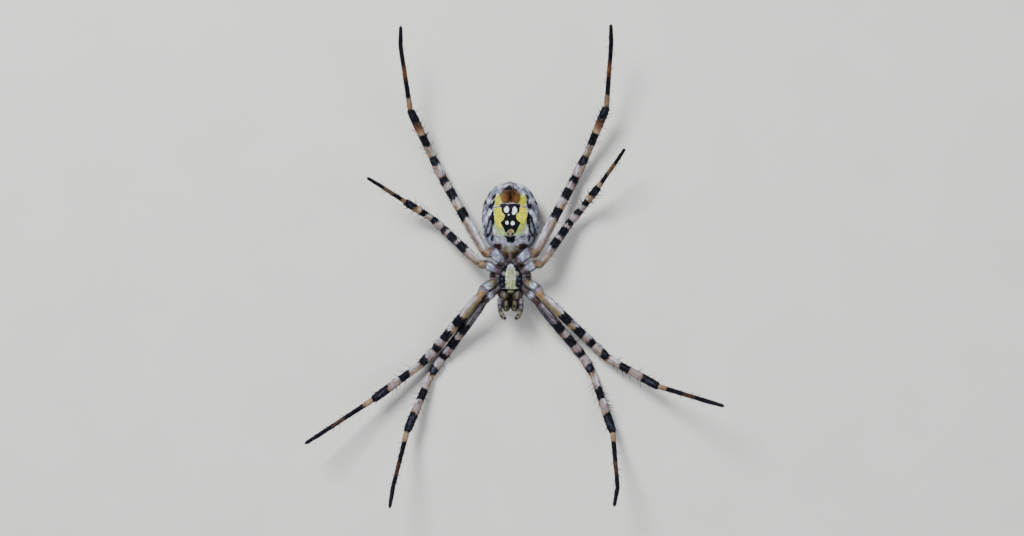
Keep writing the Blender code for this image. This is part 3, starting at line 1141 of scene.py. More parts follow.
# Dark bands: each one's segment, then its middle and half width in each pair, as shares of the segment.
BAND_SEGMENTS = ("femur", "femur", "femur", "patella", "tibia", "tibia", "metatarsus", "metatarsus")
LEG_BANDS = {
    1: ((0.445, 0.085), (0.71, 0.085), (0.94, 0.055), (0.70, 0.20),
        (0.34, 0.10), (0.845, 0.165), (0.37, 0.185), (0.95, 0.15)),
    2: ((0.445, 0.085), (0.71, 0.085), (0.94, 0.055), (0.70, 0.20),
        (0.32, 0.10), (0.84, 0.170), (0.37, 0.185), (0.95, 0.15)),
    3: ((0.445, 0.11), (0.71, 0.10), (0.94, 0.065), (0.74, 0.20),
        (0.30, 0.11), (0.82, 0.19), (0.31, 0.15), (0.97, 0.09)),
    4: ((0.507, 0.070), (0.763, 0.067), (0.953, 0.045), (0.75, 0.19),
        (0.34, 0.125), (0.89, 0.120), (0.33, 0.14), (0.90, 0.19)),
}
# The ground colour at shares of each segment, for every pair and then for single ones.
LEG_GROUND = {
    "coxa": {0: SMOKE, 0.15: LAVENDER, 0.4: FROST, 1: FROST},
    "trochanter": {0: SAND, 1: TAN},
    "femur": {0: TAN, 0.12: SAND, 0.3: PALE_PINK, 0.58: PALE_PINK, 0.85: PALE_PINK, 1: RUST},
    "patella": {0: RUST, 0.12: LILAC_WHITE, 0.80: PALE_PINK, 0.88: RUST, 1: RUST},
    "tibia": {0: TAN, 0.07: LILAC_WHITE, 0.5: PALE_PINK, 0.62: PALE_PINK, 0.70: TAN, 1: CHESTNUT},
    "metatarsus": {0: CHESTNUT, 0.05: SAND, 0.16: TAN, 0.3: UMBER, 0.6: CHESTNUT, 1: UMBER},
    "tarsus": {0: CHESTNUT, 1: CHESTNUT},
}
PAIR_GROUND = {
    (1, "coxa"): {0: SMOKE, 0.45: SMOKE, 0.75: FROST, 1: SMOKE},
    (1, "trochanter"): {0: CHESTNUT, 1: CHESTNUT},
    (1, "femur"): {0: UMBER, 0.12: SMOKE, 0.4: SMOKE, 0.55: TAN, 0.6: PALE_PINK, 0.85: PALE_PINK, 1: RUST},
    (2, "coxa"): {0: SMOKE, 0.15: PALE_OLIVE, 0.45: PALE_OLIVE, 0.6: FROST, 1: FROST},
    (2, "trochanter"): {0: SMOKE, 0.25: LAVENDER, 1: SAND},
    (2, "femur"): {0: SAND, 0.2: PALE_OLIVE, 0.36: SAND, 0.58: SAND, 0.85: PALE_PINK, 1: RUST},
    (3, "trochanter"): {0: SMOKE, 0.3: TAN, 1: SAND},
    (3, "tibia"): {0: LILAC_WHITE, 0.45: SAND, 0.62: TAN, 1: CHESTNUT},
    (3, "metatarsus"): {0: SAND, 0.16: TAN, 0.5: OLIVE, 0.8: GOLDEN, 1: CHESTNUT},
    (4, "trochanter"): {0: SMOKE, 0.3: TAN, 0.7: SAND, 1: SAND},
    (4, "femur"): {0: SAND, 0.2: PALE_PINK, 0.45: SAND, 0.6: SAND, 0.7: LILAC_WHITE, 0.85: PALE_PINK,
                   1: RUST},
    (4, "tibia"): {0: TAN, 0.07: SAND, 0.3: PALE_PINK, 0.48: SAND, 0.56: TAN, 0.64: RUST, 0.74: UMBER,
                   1: UMBER},
    (4, "metatarsus"): {0: UMBER, 0.05: TAN, 0.18: TAN, 0.3: UMBER, 0.5: CHESTNUT, 0.6: RUST, 0.68: CHESTNUT,
                        0.8: UMBER, 1: UMBER},
}
# How far each key of the ground is kept from the one before it.
KEY_GAP = 2e-5
# Bristles of each segment: how many, and how long.
LEG_BRISTLES = {"femur": (16, 0.75), "patella": (6, 0.9), "tibia": (26, 1.05), "metatarsus": (14, 0.75)}


@dataclass
class Leg:
    """One leg: skin from the chest to the tip of the foot, with its bands and bristles."""

    pair: int
    side: Side
    plot: Plot
    chest: Array
    rows: int = 300
    columns: int = 32
    # How far the skin runs on into the chest, and how much of the solids' width it takes up.
    buried: float = 0.7
    shape_share: float = 0.955
    # The last stretches of the foot, which taper and then round off.
    foot_taper: float = 2.4
    tip_round: float = 0.18
    # Bristles: how thick, how steep in degrees, how uneven in place and size, and the stretch they keep to.
    bristle_radius: float = 0.047
    bristle_rise: Pair = (52, 82)
    bristle_place: Pair = (0.2, 0.8)
    bristle_size: Pair = (0.75, 1.1)
    bristle_stretch: Pair = (0.08, 0.86)
    # How deep a bristle is rooted, and how far it bends forwards and down.
    bristle_root: float = 0.05
    bristle_bend: Pair = (0.18, 0.06)
    # Claws: how long, how thick for their length, how far apart they point and how strongly they hook.
    claw_length: float = 0.24
    claw_girth: float = 0.2
    claw_spread: float = 0.35
    claw_hook: float = 0.55
    # How much claws rise, how far inside the tip and to the side they start, and their columns on the unwrap.
    claw_rise: float = 0.2
    claw_root: Pair = (0.14, 0.05)
    claw_columns: Pair = (2.0, 8.0)

    def __post_init__(self) -> None:
        """Find the leg's outlines, then shape its skin and dress it."""
        self.nodes = [f"leg_{self.pair}_{self.side.name.lower()}_{part}" for part in LEG_NODES]
        start, rings = None, []
        for node in reversed(self.nodes):
            solid = Solid(node)
            rings += solid.rings(LIMB_POINTS, solid.beyond(self.chest) if start is None else start)
            start = rings[-1].mean(0)
        places, centres, radii = spine(rings[::-1])
        starts = [float(places[ring]) for ring in SEGMENT_STARTS.values()]
        self.spans = {name: (low, high - low) for name, low, high in zip(SEGMENT_STARTS, starts, starts[1:])}
        self.centres = np.vstack((centres[0] - unit(centres[1] - centres[0]) * self.buried, centres))
        keys, radii = np.r_[-self.buried, places], np.r_[radii[0] * 0.9, radii]
        self.at = at = np.linspace(keys[0], keys[-1], self.rows)
        radii = through(keys, radii, at) * self.shape_share - COAT_DEPTH * 0.3
        radii = radii * (1 - 0.2 * step(at, keys[-1] - self.foot_taper, keys[-1]))
        radii = radii * ended(keys[-1] - at, self.tip_round, 0.02)
        self.surface = Surface(tube(through(keys, self.centres, at), radii, self.columns), self.plot)
        self.plan = Plan(np.arange(self.columns)[None] / self.columns * 16, at[:, None])
        self._dress()

    def _dress(self) -> None:
        """Colour the leg and say how its hair grows."""
        surface, plan, at = self.surface, self.plan, self.plan.along
        upper, ahead = np.sin(turns(self.columns))[None], np.cos(turns(self.columns))[None] * self.side.value
        keys, colours = [], []
        for segment, ground in LEG_GROUND.items():
            start, length = self.spans[segment]
            for share, colour in PAIR_GROUND.get((self.pair, segment), ground).items():
                keys.append(start + length * share + KEY_GAP * len(keys))
                colours.append(colour)
        ground = np.stack([np.interp(self.at, keys, channel) for channel in np.array(colours).T], -1)
        surface.ground = np.repeat(ground[:, None], self.columns, 1)
        self._stripes(upper, ahead)
        hairy = plan.patches((1, 3.0), 40 + self.pair, 16) - 0.5
        rough = plan.patches((0.5, 1.4), 50 + self.pair, 8) - 0.5
        for segment, (middle, half) in zip(BAND_SEGMENTS, LEG_BANDS[self.pair]):
            start, length = self.spans[segment]
            centre, half = start + length * middle, half * length
            slant = (0.14 if segment in ("patella", "tibia") else -0.08) * ahead + 0.03 * upper
            near = half + 0.30 * hairy + 0.14 * rough - slant
            far = half + 0.12 * hairy + 0.14 * rough
            depth = least(at - centre + near, centre + far - at)
            if segment == "patella" or (segment == "tibia" and middle > 0.8):
                # Painted sheen: a slaty highlight painted on the lower side of the swollen black joints, with
                # the black thinned there to let it show.
                sheen = step(upper, 0.35, 0.95) * step(0.85 * half - np.abs(at - centre), 0.0, 0.2)
                surface.paint(SLATY_SHEEN, sheen)
                depth = np.minimum(depth, 0.09 - sheen * (0.07 + 0.06 * hairy))
            surface.add(Mark.DARK, depth)
        tarsus, length = self.spans["tarsus"]
        surface.add(Mark.DARK, at - tarsus + 0.05)
        hip = self.spans["femur"][0]
        foot = step(at, tarsus - 3.0, tarsus - 0.5)
        reach = np.interp(at, (0, hip, hip + 3, tarsus - 5, tarsus + length), (0.32, 0.40, 0.40, 0.32, 0.20))
        surface.hairy(88.0 + 40.0 * (1 - step(at, 0.0, hip + 1.0)) + 70.0 * foot, reach, 24.0 + 10.0 * foot)

    def _stripes(self, upper: Array, ahead: Array) -> None:
        """Lay the lengthwise tones over the ground: silvery behind, darker or yellower in front.

        Args:
            upper: how far each column faces up, to 1.
            ahead: how far each column faces the leg's front, to 1.
        """
        paint, pair, at = self.surface.paint, self.pair, self.plan.along
        streaks = self.plan.patches((1, 0.9), 60 + pair, 16)
        flecks = self.plan.patches((1, 3.5), 70 + pair, 16)
        lines = self.plan.patches((2, 0.8), 80 + pair, 32)
        start, length = self.spans["femur"]
        on_femur = step(at, start - 0.2, start + 0.5) * (1 - step(at, start + 0.80 * length, start + length))
        silvery = 0.5 if pair == 1 else 1.0
        paint(LILAC_WHITE, silvery * on_femur * step(-ahead, -0.35, 0.35) * step(streaks, 0.1, 0.5))
        paint(WHITE, 0.7 * silvery * on_femur * step(-ahead, -0.1, 0.6) * step(lines, 0.4, 0.7))
        knee, (shank, shank_length) = self.spans["patella"][0], self.spans["tibia"]
        end = shank + (0.4 if pair == 4 else 0.55) * shank_length
        on_shank = step(at, knee + 0.3, knee + 0.6) * (1 - step(at, end - 0.3, end))
        paint(WHITE, 0.5 * on_shank * step(-ahead, -0.1, 0.6) * step(lines, 0.3, 0.7))
        paint(SAND, 0.85 * on_shank * step(ahead, -0.2, 0.4) * step(streaks, 0.25, 0.6))
        if pair == 2:
            near = 1 - step(at, start + 0.35 * length, start + 0.6 * length)
            front = step(ahead + upper * 0.4, 0.0, 0.8)
            paint(OCHRE, 0.75 * on_femur * near * front * step(flecks, 0.2, 0.6))
        if pair == 4:
            near = 1 - step(at, start + 0.4 * length, start + 0.6 * length)
            seam = step(0.16 - np.abs(ahead - 0.5 - 0.2 * (streaks - 0.5)), 0.0, 0.1) * step(upper, -0.2, 0.2)
            paint(UMBER, 0.75 * on_femur * seam * near)
        gaps = step(at, start + 0.5 * length, start + 0.58 * length)
        if pair == 1:
            paint(SMOKE, 0.9 * on_femur * step(ahead, -0.3, 0.5) * (1 - 0.7 * gaps))
            paint(BLUE_BLACK, 0.85 * on_femur * step(streaks + 0.25 * ahead, 0.4, 0.7) * (1 - gaps))
            paint(LILAC_WHITE, 0.6 * on_femur * step(lines, 0.6, 0.85) * step(0.8 - ahead, 0, 0.5))
        if pair in (1, 2):
            paint(ORANGE, 0.5 * on_femur * gaps * step(ahead, 0.0, 0.7) * step(flecks, 0.3, 0.7))
        paint(SMOKE, 0.6 * (on_femur + on_shank) * (1 - step(lines, 0.12, 0.3)))
        paint(WHITE, 0.35 * step(streaks, 0.7, 0.95) * step(-upper - ahead * 0.3, -0.6, 0.8))
        hip = self.spans["trochanter"][0]
        if pair in (2, 4):
            stain = Plan(at - hip, 1.5 * np.arctan2(ahead, upper) * 0.35).spot(0.86, 0.25, 0.36, 0.42)
            paint(ORANGE if pair == 2 else RUST, 0.85 * step(stain + 0.1 * (flecks - 0.5), -0.04, 0.1))
        root = 1 - step(at, hip - 0.3, hip + 0.2)
        # White flecks on the coxae: in part silver hairs, in part painted highlight.
        paint(WHITE, 0.75 * root * step(flecks, 0.45, 0.8) * step(at, 0.5, 1.2))
        # Painted shade: blue-black down the front and back sides of the coxae, where they meet their
        # neighbours, less towards their upper side.
        paint(BLUE_BLACK, 0.9 * root * step(np.abs(ahead) - 0.3 * upper, 0.45, 0.95))
        for joint, wide in ((0.15, 0.35), (hip, 0.16), (start, 0.12)):
            ring = step(wide - np.abs(at - joint) + 0.25 * (flecks - 0.5), 0.0, 0.12)
            paint(CHESTNUT, 0.85 * ring * step(np.abs(ahead) + flecks, 0.4, 0.9))

    def bristles(self, stock: Stock, spikes: Spikes) -> None:
        """Add the leg's long black bristles.

        Args:
            stock: the mesh to add to.
            spikes: their make.
        """
        rng = np.random.default_rng(100 + self.pair * 2 + self.side.value)
        rows, columns, sizes, (first, stretch) = [], [], [], self.bristle_stretch
        for segment, (count, size) in LEG_BRISTLES.items():
            start, length = self.spans[segment]
            shares = (np.arange(count) + rng.uniform(*self.bristle_place, count)) / count
            rows += np.searchsorted(self.at, start + length * (first + stretch * shares)).tolist()
            columns += (rng.permutation(count) * self.columns // count + rng.integers(0, 3, count)).tolist()
            sizes += (size * rng.uniform(*self.bristle_size, count)).tolist()
        rows, columns, sizes = np.array(rows), np.array(columns) % self.columns, np.array(sizes)
        lift = np.radians(rng.uniform(*self.bristle_rise, len(rows)))[:, None]
        normal, lie = self.surface.normals[rows, columns], self.surface.along[rows, columns]
        roots = self.surface.points[rows, columns] - normal * self.bristle_root
        bend = lie * self.bristle_bend[0] - normal * self.bristle_bend[1]
        spikes.grow(
            stock, self.surface.unwrap(rows, columns), {},
            roots, lie * np.cos(lift) + normal * np.sin(lift), bend,
            sizes, np.full(len(sizes), self.bristle_radius),
        )

    def claws(self, stock: Stock, spikes: Spikes) -> None:
        """Add the two hooked claws at the tip of the foot.

        Args:
            stock: the mesh to add to.
            spikes: their make.
        """
        along = unit(self.centres[-1] - self.centres[-3])
        across = unit(np.cross(along, UP)) * np.array((-1.0, 1.0))[:, None]
        roots = self.centres[-1] - along * self.claw_root[0] + across * self.claw_root[1]
        heading = unit(along + across * self.claw_spread + UP * self.claw_rise)
        size = np.full(2, self.claw_length)
        places = self.surface.unwrap(np.full(2, self.rows - 1.0), np.array(self.claw_columns))
        hook = np.tile(-UP * self.claw_hook, (2, 1))
        spikes.grow(stock, places, {}, roots, heading, hook, size, size * self.claw_girth)


# ---- Abdomen ----
@dataclass
class Abdomen:
    """The egg-shaped abdomen. Across is from its midline, and along is from its front end."""

    plot: Plot
    rows: int = 150
    columns: int = 128
    fullness: float = 2.2
    station_points: int = 20
    # The black field of the belly: half its width at places along it, and its two ends.
    field_width: tuple[Pair, ...] = (
        (3.02, 0.50), (3.2, 0.70), (3.6, 0.86), (4.0, 1.04), (4.28, 1.20), (4.42, 1.00), (4.65, 0.72),
        (5.2, 0.70), (5.42, 0.96), (5.8, 1.06), (6.3, 1.16), (6.45, 1.18),
    )
    # Outer edge of the yellow beside it.
    yellow_width: tuple[Pair, ...] = (
        (2.5, 1.55), (3.4, 1.72), (4.2, 1.80), (5.0, 1.92), (5.9, 1.88), (6.4, 1.9), (7.3, 1.85),
    )
    # Spots: middle, half width and half length. Streaks: two ends and half width.
    white_spots: tuple[Row, ...] = (
        (-0.48, 5.80, 0.27, 0.42), (0.48, 5.68, 0.28, 0.42), (0.36, 5.36, 0.20, 0.24),
        (-0.25, 5.16, 0.12, 0.12), (-0.39, 4.21, 0.19, 0.23), (0.27, 4.16, 0.20, 0.27),
    )
    flank_streaks: tuple[Row, ...] = (
        (1.62, 7.70, 2.20, 6.80, 0.13), (1.92, 6.75, 2.30, 5.80, 0.17),
        (2.35, 6.4, 2.72, 5.55, 0.09), (1.98, 5.05, 2.08, 3.85, 0.17),
        (2.2, 5.0, 2.75, 3.6, 0.11), (2.1, 3.9, 2.45, 2.65, 0.13), (2.75, 3.7, 2.9, 3.2, 0.10),
        (2.62, 3.0, 2.7, 2.45, 0.14), (2.05, 2.80, 2.15, 2.15, 0.17), (3.12, 5.9, 3.2, 5.3, 0.06),
        (2.98, 4.2, 3.1, 3.5, 0.06), (2.35, 7.7, 2.75, 7.0, 0.06), (1.15, 2.50, 1.75, 2.66, 0.05),
        (0.30, 2.40, 0.68, 2.76, 0.11), (1.0, 0.42, 2.2, 1.15, 0.07), (0.9, 8.35, 1.6, 8.0, 0.05),
        (1.4, 8.3, 2.0, 7.75, 0.05),
    )
    white_flanks: tuple[Row, ...] = (
        (2.25, 5.65, 2.45, 5.15, 0.17), (1.60, 7.62, 1.50, 7.35, 0.11),
        (2.1, 6.55, 2.28, 6.9, 0.07), (2.5, 5.0, 2.8, 4.3, 0.05), (1.5, 8.1, 0.9, 8.5, 0.06),
    )
    white_middle: tuple[Row, ...] = (
        (-0.1, 8.76, -0.95, 8.42, 0.075), (-0.1, 8.76, 0.28, 8.24, 0.045),
        (0.05, 1.62, 0.0, 2.0, 0.06), (-0.30, 1.72, -0.26, 2.02, 0.045),
        (0.33, 1.75, 0.27, 2.02, 0.045),
    )
    lung: Row = (1.51, 1.45, 0.60, 0.50)
    knob: Row = (0.0, 3.08, 0.44, 0.42)
    spinning_field: Row = (0.0, 7.35, 1.30, 0.84)

    def __post_init__(self) -> None:
        """Shape the abdomen through its solid's outlines, and dress it."""
        solid = Solid("abdomen")
        self.middle, self.front = solid.middle[0], solid.low[1]
        rings = solid.levels((0, 1, 0), self.station_points)
        places = [ring[:, 1].mean() for ring in rings]
        reach = [(np.abs(ring[:, 0] - self.middle).max(), *np.sort(ring[:, 2])[[0, -1]]) for ring in rings]
        along, closing = stations(solid.low[1] + COAT_DEPTH, solid.high[1] - COAT_DEPTH, self.rows, 24)
        width, low, high = through(places, reach, along).T
        width, low, high = width - COAT_DEPTH, low + COAT_DEPTH, high - COAT_DEPTH
        half = (high - low) / 2 * closing
        level = (low + high) / 2
        grid = egg(along, self.middle, width * closing, half, level, half, self.columns, self.fullness)
        self.surface = Surface(grid, self.plot)
        self._dress()

    def _dress(self) -> None:
        """Colour the abdomen, raise its relief and say how its hair grows."""
        surface, paint = self.surface, self.surface.paint
        x, y, _ = surface.xyz
        plan = Plan(x - self.middle, y - self.front).wandering(5, 0.055)
        folded = plan.folded
        side, along = folded.across, folded.along
        belly = np.sin(turns(self.columns))[None]
        on_belly, facing = step(belly, -0.05, 0.25), (belly - 0.1) * 2.0
        self._flanks(folded, belly)
        self._back(plan, belly)
        # The yellow, green and white beside the black field.
        inner, outer = line(self.field_width, along), line(self.yellow_width, along)
        blotch = plan.patches(2.6, 9) - 0.5
        green = least(outer + 0.1 - side, along - 2.62, 5.0 - along, facing)
        paint(PALE_GREEN, step(green, -0.05, 0.12))
        paint(LIME, 0.9 * step(np.minimum(green, along - 3.3 + 0.9 * blotch), -0.1, 0.4))
        silver = 0.7 * step(green, -0.05, 0.12) * step(side - 1.25 + blotch * 0.6, 0.0, 0.4)
        paint(PALE_SILVER, silver * step(3.7 - along, 0, 0.5))
        yellow = least(outer - side, side - inner + 0.1, along - 3.85 + 1.5 * blotch, facing, 5.99 - along)
        lobe = least(folded.spot(1.46, 6.74, 0.40, 0.66), np.abs(along - 6.05) - 0.03, facing)
        paint(CREAM, step(folded.spot(1.45, 6.95, 0.52, 0.72), 0.0, 0.15))
        surface.add(Mark.GOLD, np.maximum(yellow, lobe * 0.5))
        # The silvery front of the belly, with its olive middle.
        silver = on_belly * step(2.95 - along, 0.0, 0.4) * step(2.3 - side, 0, 0.3)
        paint(PALE_SILVER, silver)
        paint(WHITE, 0.6 * silver * plan.flecks(5, 12, 0.62, 0.9))
        middle = step(folded.spot(0.0, 1.15, 1.2, 0.62), 0.0, 0.3) * on_belly
        paint(MOSS, middle)
        paint(PALE_SILVER, 0.7 * middle * step(0.55 - side, 0.0, 0.4) * step(along, 0.85, 1.3))
        paint(GOLDEN, 0.7 * middle * plan.flecks(3.4, 13, 0.4, 0.75) * step(side, 0.2, 0.7))
        paint(GOLDEN, on_belly * step(0.88 - along + side * 0.28, 0.0, 0.3) * step(2.0 - side, 0, 0.3))
        crease = step(0.07 - np.abs(along - 0.42 - 0.33 * side), 0.0, 0.06) * step(side, 0.5, 0.9)
        paint(UMBER, 0.8 * on_belly * crease * step(2.3 - side, 0, 0.2))
        paint(ORANGE, 0.45 * on_belly * step(folded.spot(0.40, 0.45, 0.6, 0.20), 0.0, 0.1))
        # The lung covers, the field of the spinnerets and the knob.
        lung = np.minimum(folded.spot(*self.lung), 1.88 - along)
        paint(MAROON, step(lung, -0.03, 0.06) * on_belly)
        paint(RUST, 0.3 * step(lung, 0.0, 0.1) * step(1.5 - side, 0, 0.3) * on_belly)
        edge = folded.spot(*self.spinning_field)
        paint(LILAC_WHITE, on_belly * step(edge, -0.12, -0.04) * step(6.95 - along, 0, 0.3))
        paint(RUST, on_belly * step(edge, 0.0, 0.08))
        paint(CHESTNUT, 0.45 * on_belly * step(edge, 0.0, 0.08) * plan.flecks(3.0, 15, 0.3, 0.8))
        paint(CHESTNUT, on_belly * step(folded.spot(0.0, 7.4, 0.4, 0.8), 0.0, 0.1))
        knob = step(folded.spot(*self.knob), -0.03, 0.06) * on_belly
        paint(TAN, knob)
        paint(PALE_PINK, 0.5 * knob * plan.flecks(6, 14, 0.4, 0.8))
        self._ink(plan, facing, inner)
        # Relief: lung covers, the fold behind them and dimples of the flanks.
        lung = step(lung, -0.05, 0.2) * on_belly
        fold = np.exp(-((along - 2.25) / 0.12) ** 2) * on_belly * step(2.4 - side, 0, 0.4)
        ripple = np.sin(along * 7.0 + side * 2.2) * step(side, 1.9, 2.4) * 0.012
        surface.press(0.07 * lung - 0.06 * fold + ripple + 0.03 * step(surface.marks[Mark.PALE], -0.05, 0.1))
        black = step(least(inner - side, along - 3.0, 6.45 - along), -0.1, 0.1)
        bare = most(black, step(yellow, -0.1, 0.1), lung) * on_belly
        surface.hairy(118.0 - 88.0 * bare, 0.40 - 0.22 * bare, 27.0)

    def _flanks(self, folded: Plan, belly: Array) -> None:
        """Streak the flanks with silver, lavender, white and short dark dashes.

        Args:
            folded: the folded plan.
            belly: how far each column faces the belly's way, to 1.
        """
        side, along, paint = folded.across, folded.along, self.surface.paint
        flow = Plan(side * 0.9 + along * 0.42, along * 0.9 - side * 0.42)
        paint(LAVENDER)
        paint(SILVER, flow.flecks((3.4, 1.1), 21, 0.25, 0.6))
        paint(PALE_PINK, 0.6 * flow.flecks((2.0, 0.8), 22, 0.6, 0.9))
        paint(WHITE, 0.8 * flow.flecks((4.2, 1.4), 23, 0.66, 0.9))
        dashes = (flow.patches((4.4, 1.5), 24) - 0.66) * 0.5
        self.surface.add(Mark.DARK, least(dashes, side - 1.95, along - 1.6, (belly - 0.05) * 2.0))

    def _ink(self, plan: Plan, facing: Array, inner: Array) -> None:
        """Draw the white spots, and the black that leaves them free.

        Args:
            plan: the plan to draw on.
            facing: depth inside the belly.
            inner: half the black field's width.
        """
        surface, folded, along = self.surface, plan.folded, plan.along
        side = folded.across
        streaks = [folded.streak(*ends) for ends in self.white_flanks]
        streaks += [plan.streak(*ends) for ends in self.white_middle]
        spots = [plan.spot(*spot) for spot in self.white_spots]
        surface.add(Mark.PALE, np.minimum(most(*streaks, *spots), facing))
        tent = least(8.66 - along - 0.62 * np.abs(plan.across + 0.08), along - 8.02, 0.95 - side)
        black = most(
            least(inner - side, along - 3.0, 6.42 - along, -folded.spot(*self.knob)),
            np.minimum(0.055 - np.abs(along - 6.06 - 0.08 * np.cos(side * 5.0)), 1.9 - side),
            folded.spot(0.0, 2.24, 0.52, 0.42), folded.spot(0.29, 2.98, 0.12, 0.20), tent,
            *(folded.streak(*ends) for ends in self.flank_streaks),
        )
        surface.add(Mark.DARK, least(black, -surface.marks[Mark.PALE] * 1.2, facing))

    def _back(self, plan: Plan, belly: Array) -> None:
        """Mark the back: silvery yellow with many thin dark lines across it.

        Args:
            plan: the plan to draw on.
            belly: how far each column faces the belly's way, to 1.
        """
        across, along = plan.across, plan.along
        on_back = step(-belly, 0.0, 0.25)
        self.surface.paint(CREAM, on_back * 0.8)
        self.surface.paint(SILVER, on_back * 0.7 * step(np.sin(along * 4.0), -0.3, 0.5))
        bow = along + 0.12 * across**2 / 3.0 + 0.06 * np.sin(across * 4.0)
        rows = 0.10 - np.abs((bow % 0.62) - 0.31)
        self.surface.add(Mark.DARK, np.minimum(rows * 0.6 + 0.01, (-belly - 0.12) * 2.0))


# ---- Shield and breast plate ----
@dataclass
class Carapace:
    """The shield over the back of the head and chest."""

    plot: Plot
    eyes: list[tuple[Array, float]]
    chest: Array
    rows: int = 110
    columns: int = 96
    fullness: float = 2.3
    # Where its grooves meet, as a share of its length, and the ways that they run, in degrees.
    hub: float = 0.66
    grooves: tuple[float, ...] = (25, 62, 100, 140)

    def __post_init__(self) -> None:
        """Shape the shield between its solid's rim and ridge, and dress it."""
        solid = Solid("carapace")
        points, middle = solid.points, solid.middle[0]
        side = np.abs(points[:, 0] - middle)
        rim = points[np.argmax(side), 2]
        edge = points[(np.abs(points[:, 2] - rim) < SAME_LEVEL) & (points[:, 0] > middle)]
        ridge = points[(side < SAME_LEVEL) & (points[:, 2] < rim - 0.1)]
        edge, ridge = edge[np.argsort(edge[:, 1])], ridge[np.argsort(ridge[:, 1])]
        along, closing = stations(solid.low[1] + COAT_DEPTH, solid.high[1] - COAT_DEPTH, self.rows, 20)
        width = through(edge[:, 1], edge[:, 0] - middle, along) - COAT_DEPTH
        back = through(ridge[:, 1], ridge[:, 2], along) + COAT_DEPTH
        level = (rim + (solid.high[2] + back) / 2) / 2
        high = solid.high[2] - COAT_DEPTH
        grid = egg(along, middle, width * closing, (level - back) * closing, level, (high - level) * closing,
                   self.columns, self.fullness)
        self.surface = Surface(grid, self.plot)
        self._dress(Plan(grid[..., 0] - middle, grid[..., 1] - solid.low[1]), solid.high[1] - solid.low[1])

    def _dress(self, plan: Plan, length: float) -> None:
        """Colour the shield, groove it and say how its hair grows.

        Args:
            plan: the plan to draw on.
            length: how long the shield is.
        """
        surface, paint, folded = self.surface, self.surface.paint, plan.folded
        mottle = 0.7 * folded.patches(2.0, 31) + 0.3 * plan.patches(4.4, 30)
        back = step(-np.sin(turns(self.columns))[None] + 0.5 * (mottle - 0.5), 0.0, 0.4)
        fan, hub = pleats(surface.points, self.chest), length * self.hub
        paint(UMBER)
        paint(TAN, 0.45 * step(mottle, 0.45, 0.8))
        paint(PALE_PINK, 0.9 * step(fan, -0.05, 0.05) * (1 - back))
        paint(TAN, 0.6 * back)
        paint(SILVER, 0.9 * back * step(mottle, 0.15, 0.50))
        ends = [(1.9 * math.sin(turn), hub - 1.9 * math.cos(turn)) for turn in np.radians(self.grooves)]
        grooves = most(-1.0, *(folded.streak(0.25, hub, *end, 0.10) for end in ends))
        grooves = grooves + 0.10 * (plan.patches(5.0, 32) - 0.6)
        paint(SMOKE, 0.9 * back * step(grooves, -0.08, 0.05))
        surface.add(Mark.DARK, 0.07 - self._from_eyes())
        hollow = np.exp(-(plan.across**2 + (plan.along - hub) ** 2) / 0.25**2)
        surface.press(-0.05 * step(grooves, -0.06, 0.06) * back - 0.10 * hollow * back
                      + 0.05 * (step(fan, -0.1, 0.08) - 1) * (1 - back))
        near = self._from_eyes()
        length = 0.16 + 0.12 * step(near, 0.2, 1.2)
        surface.hairy(150.0 * step(near, 0.04, 0.2) * (0.4 + 0.6 * back), length, 22.0)

    def _from_eyes(self) -> Array:
        """How far each point lies from the nearest eye."""
        points = self.surface.points
        return least(*(np.linalg.norm(points - eye, axis=2) - radius for eye, radius in self.eyes))


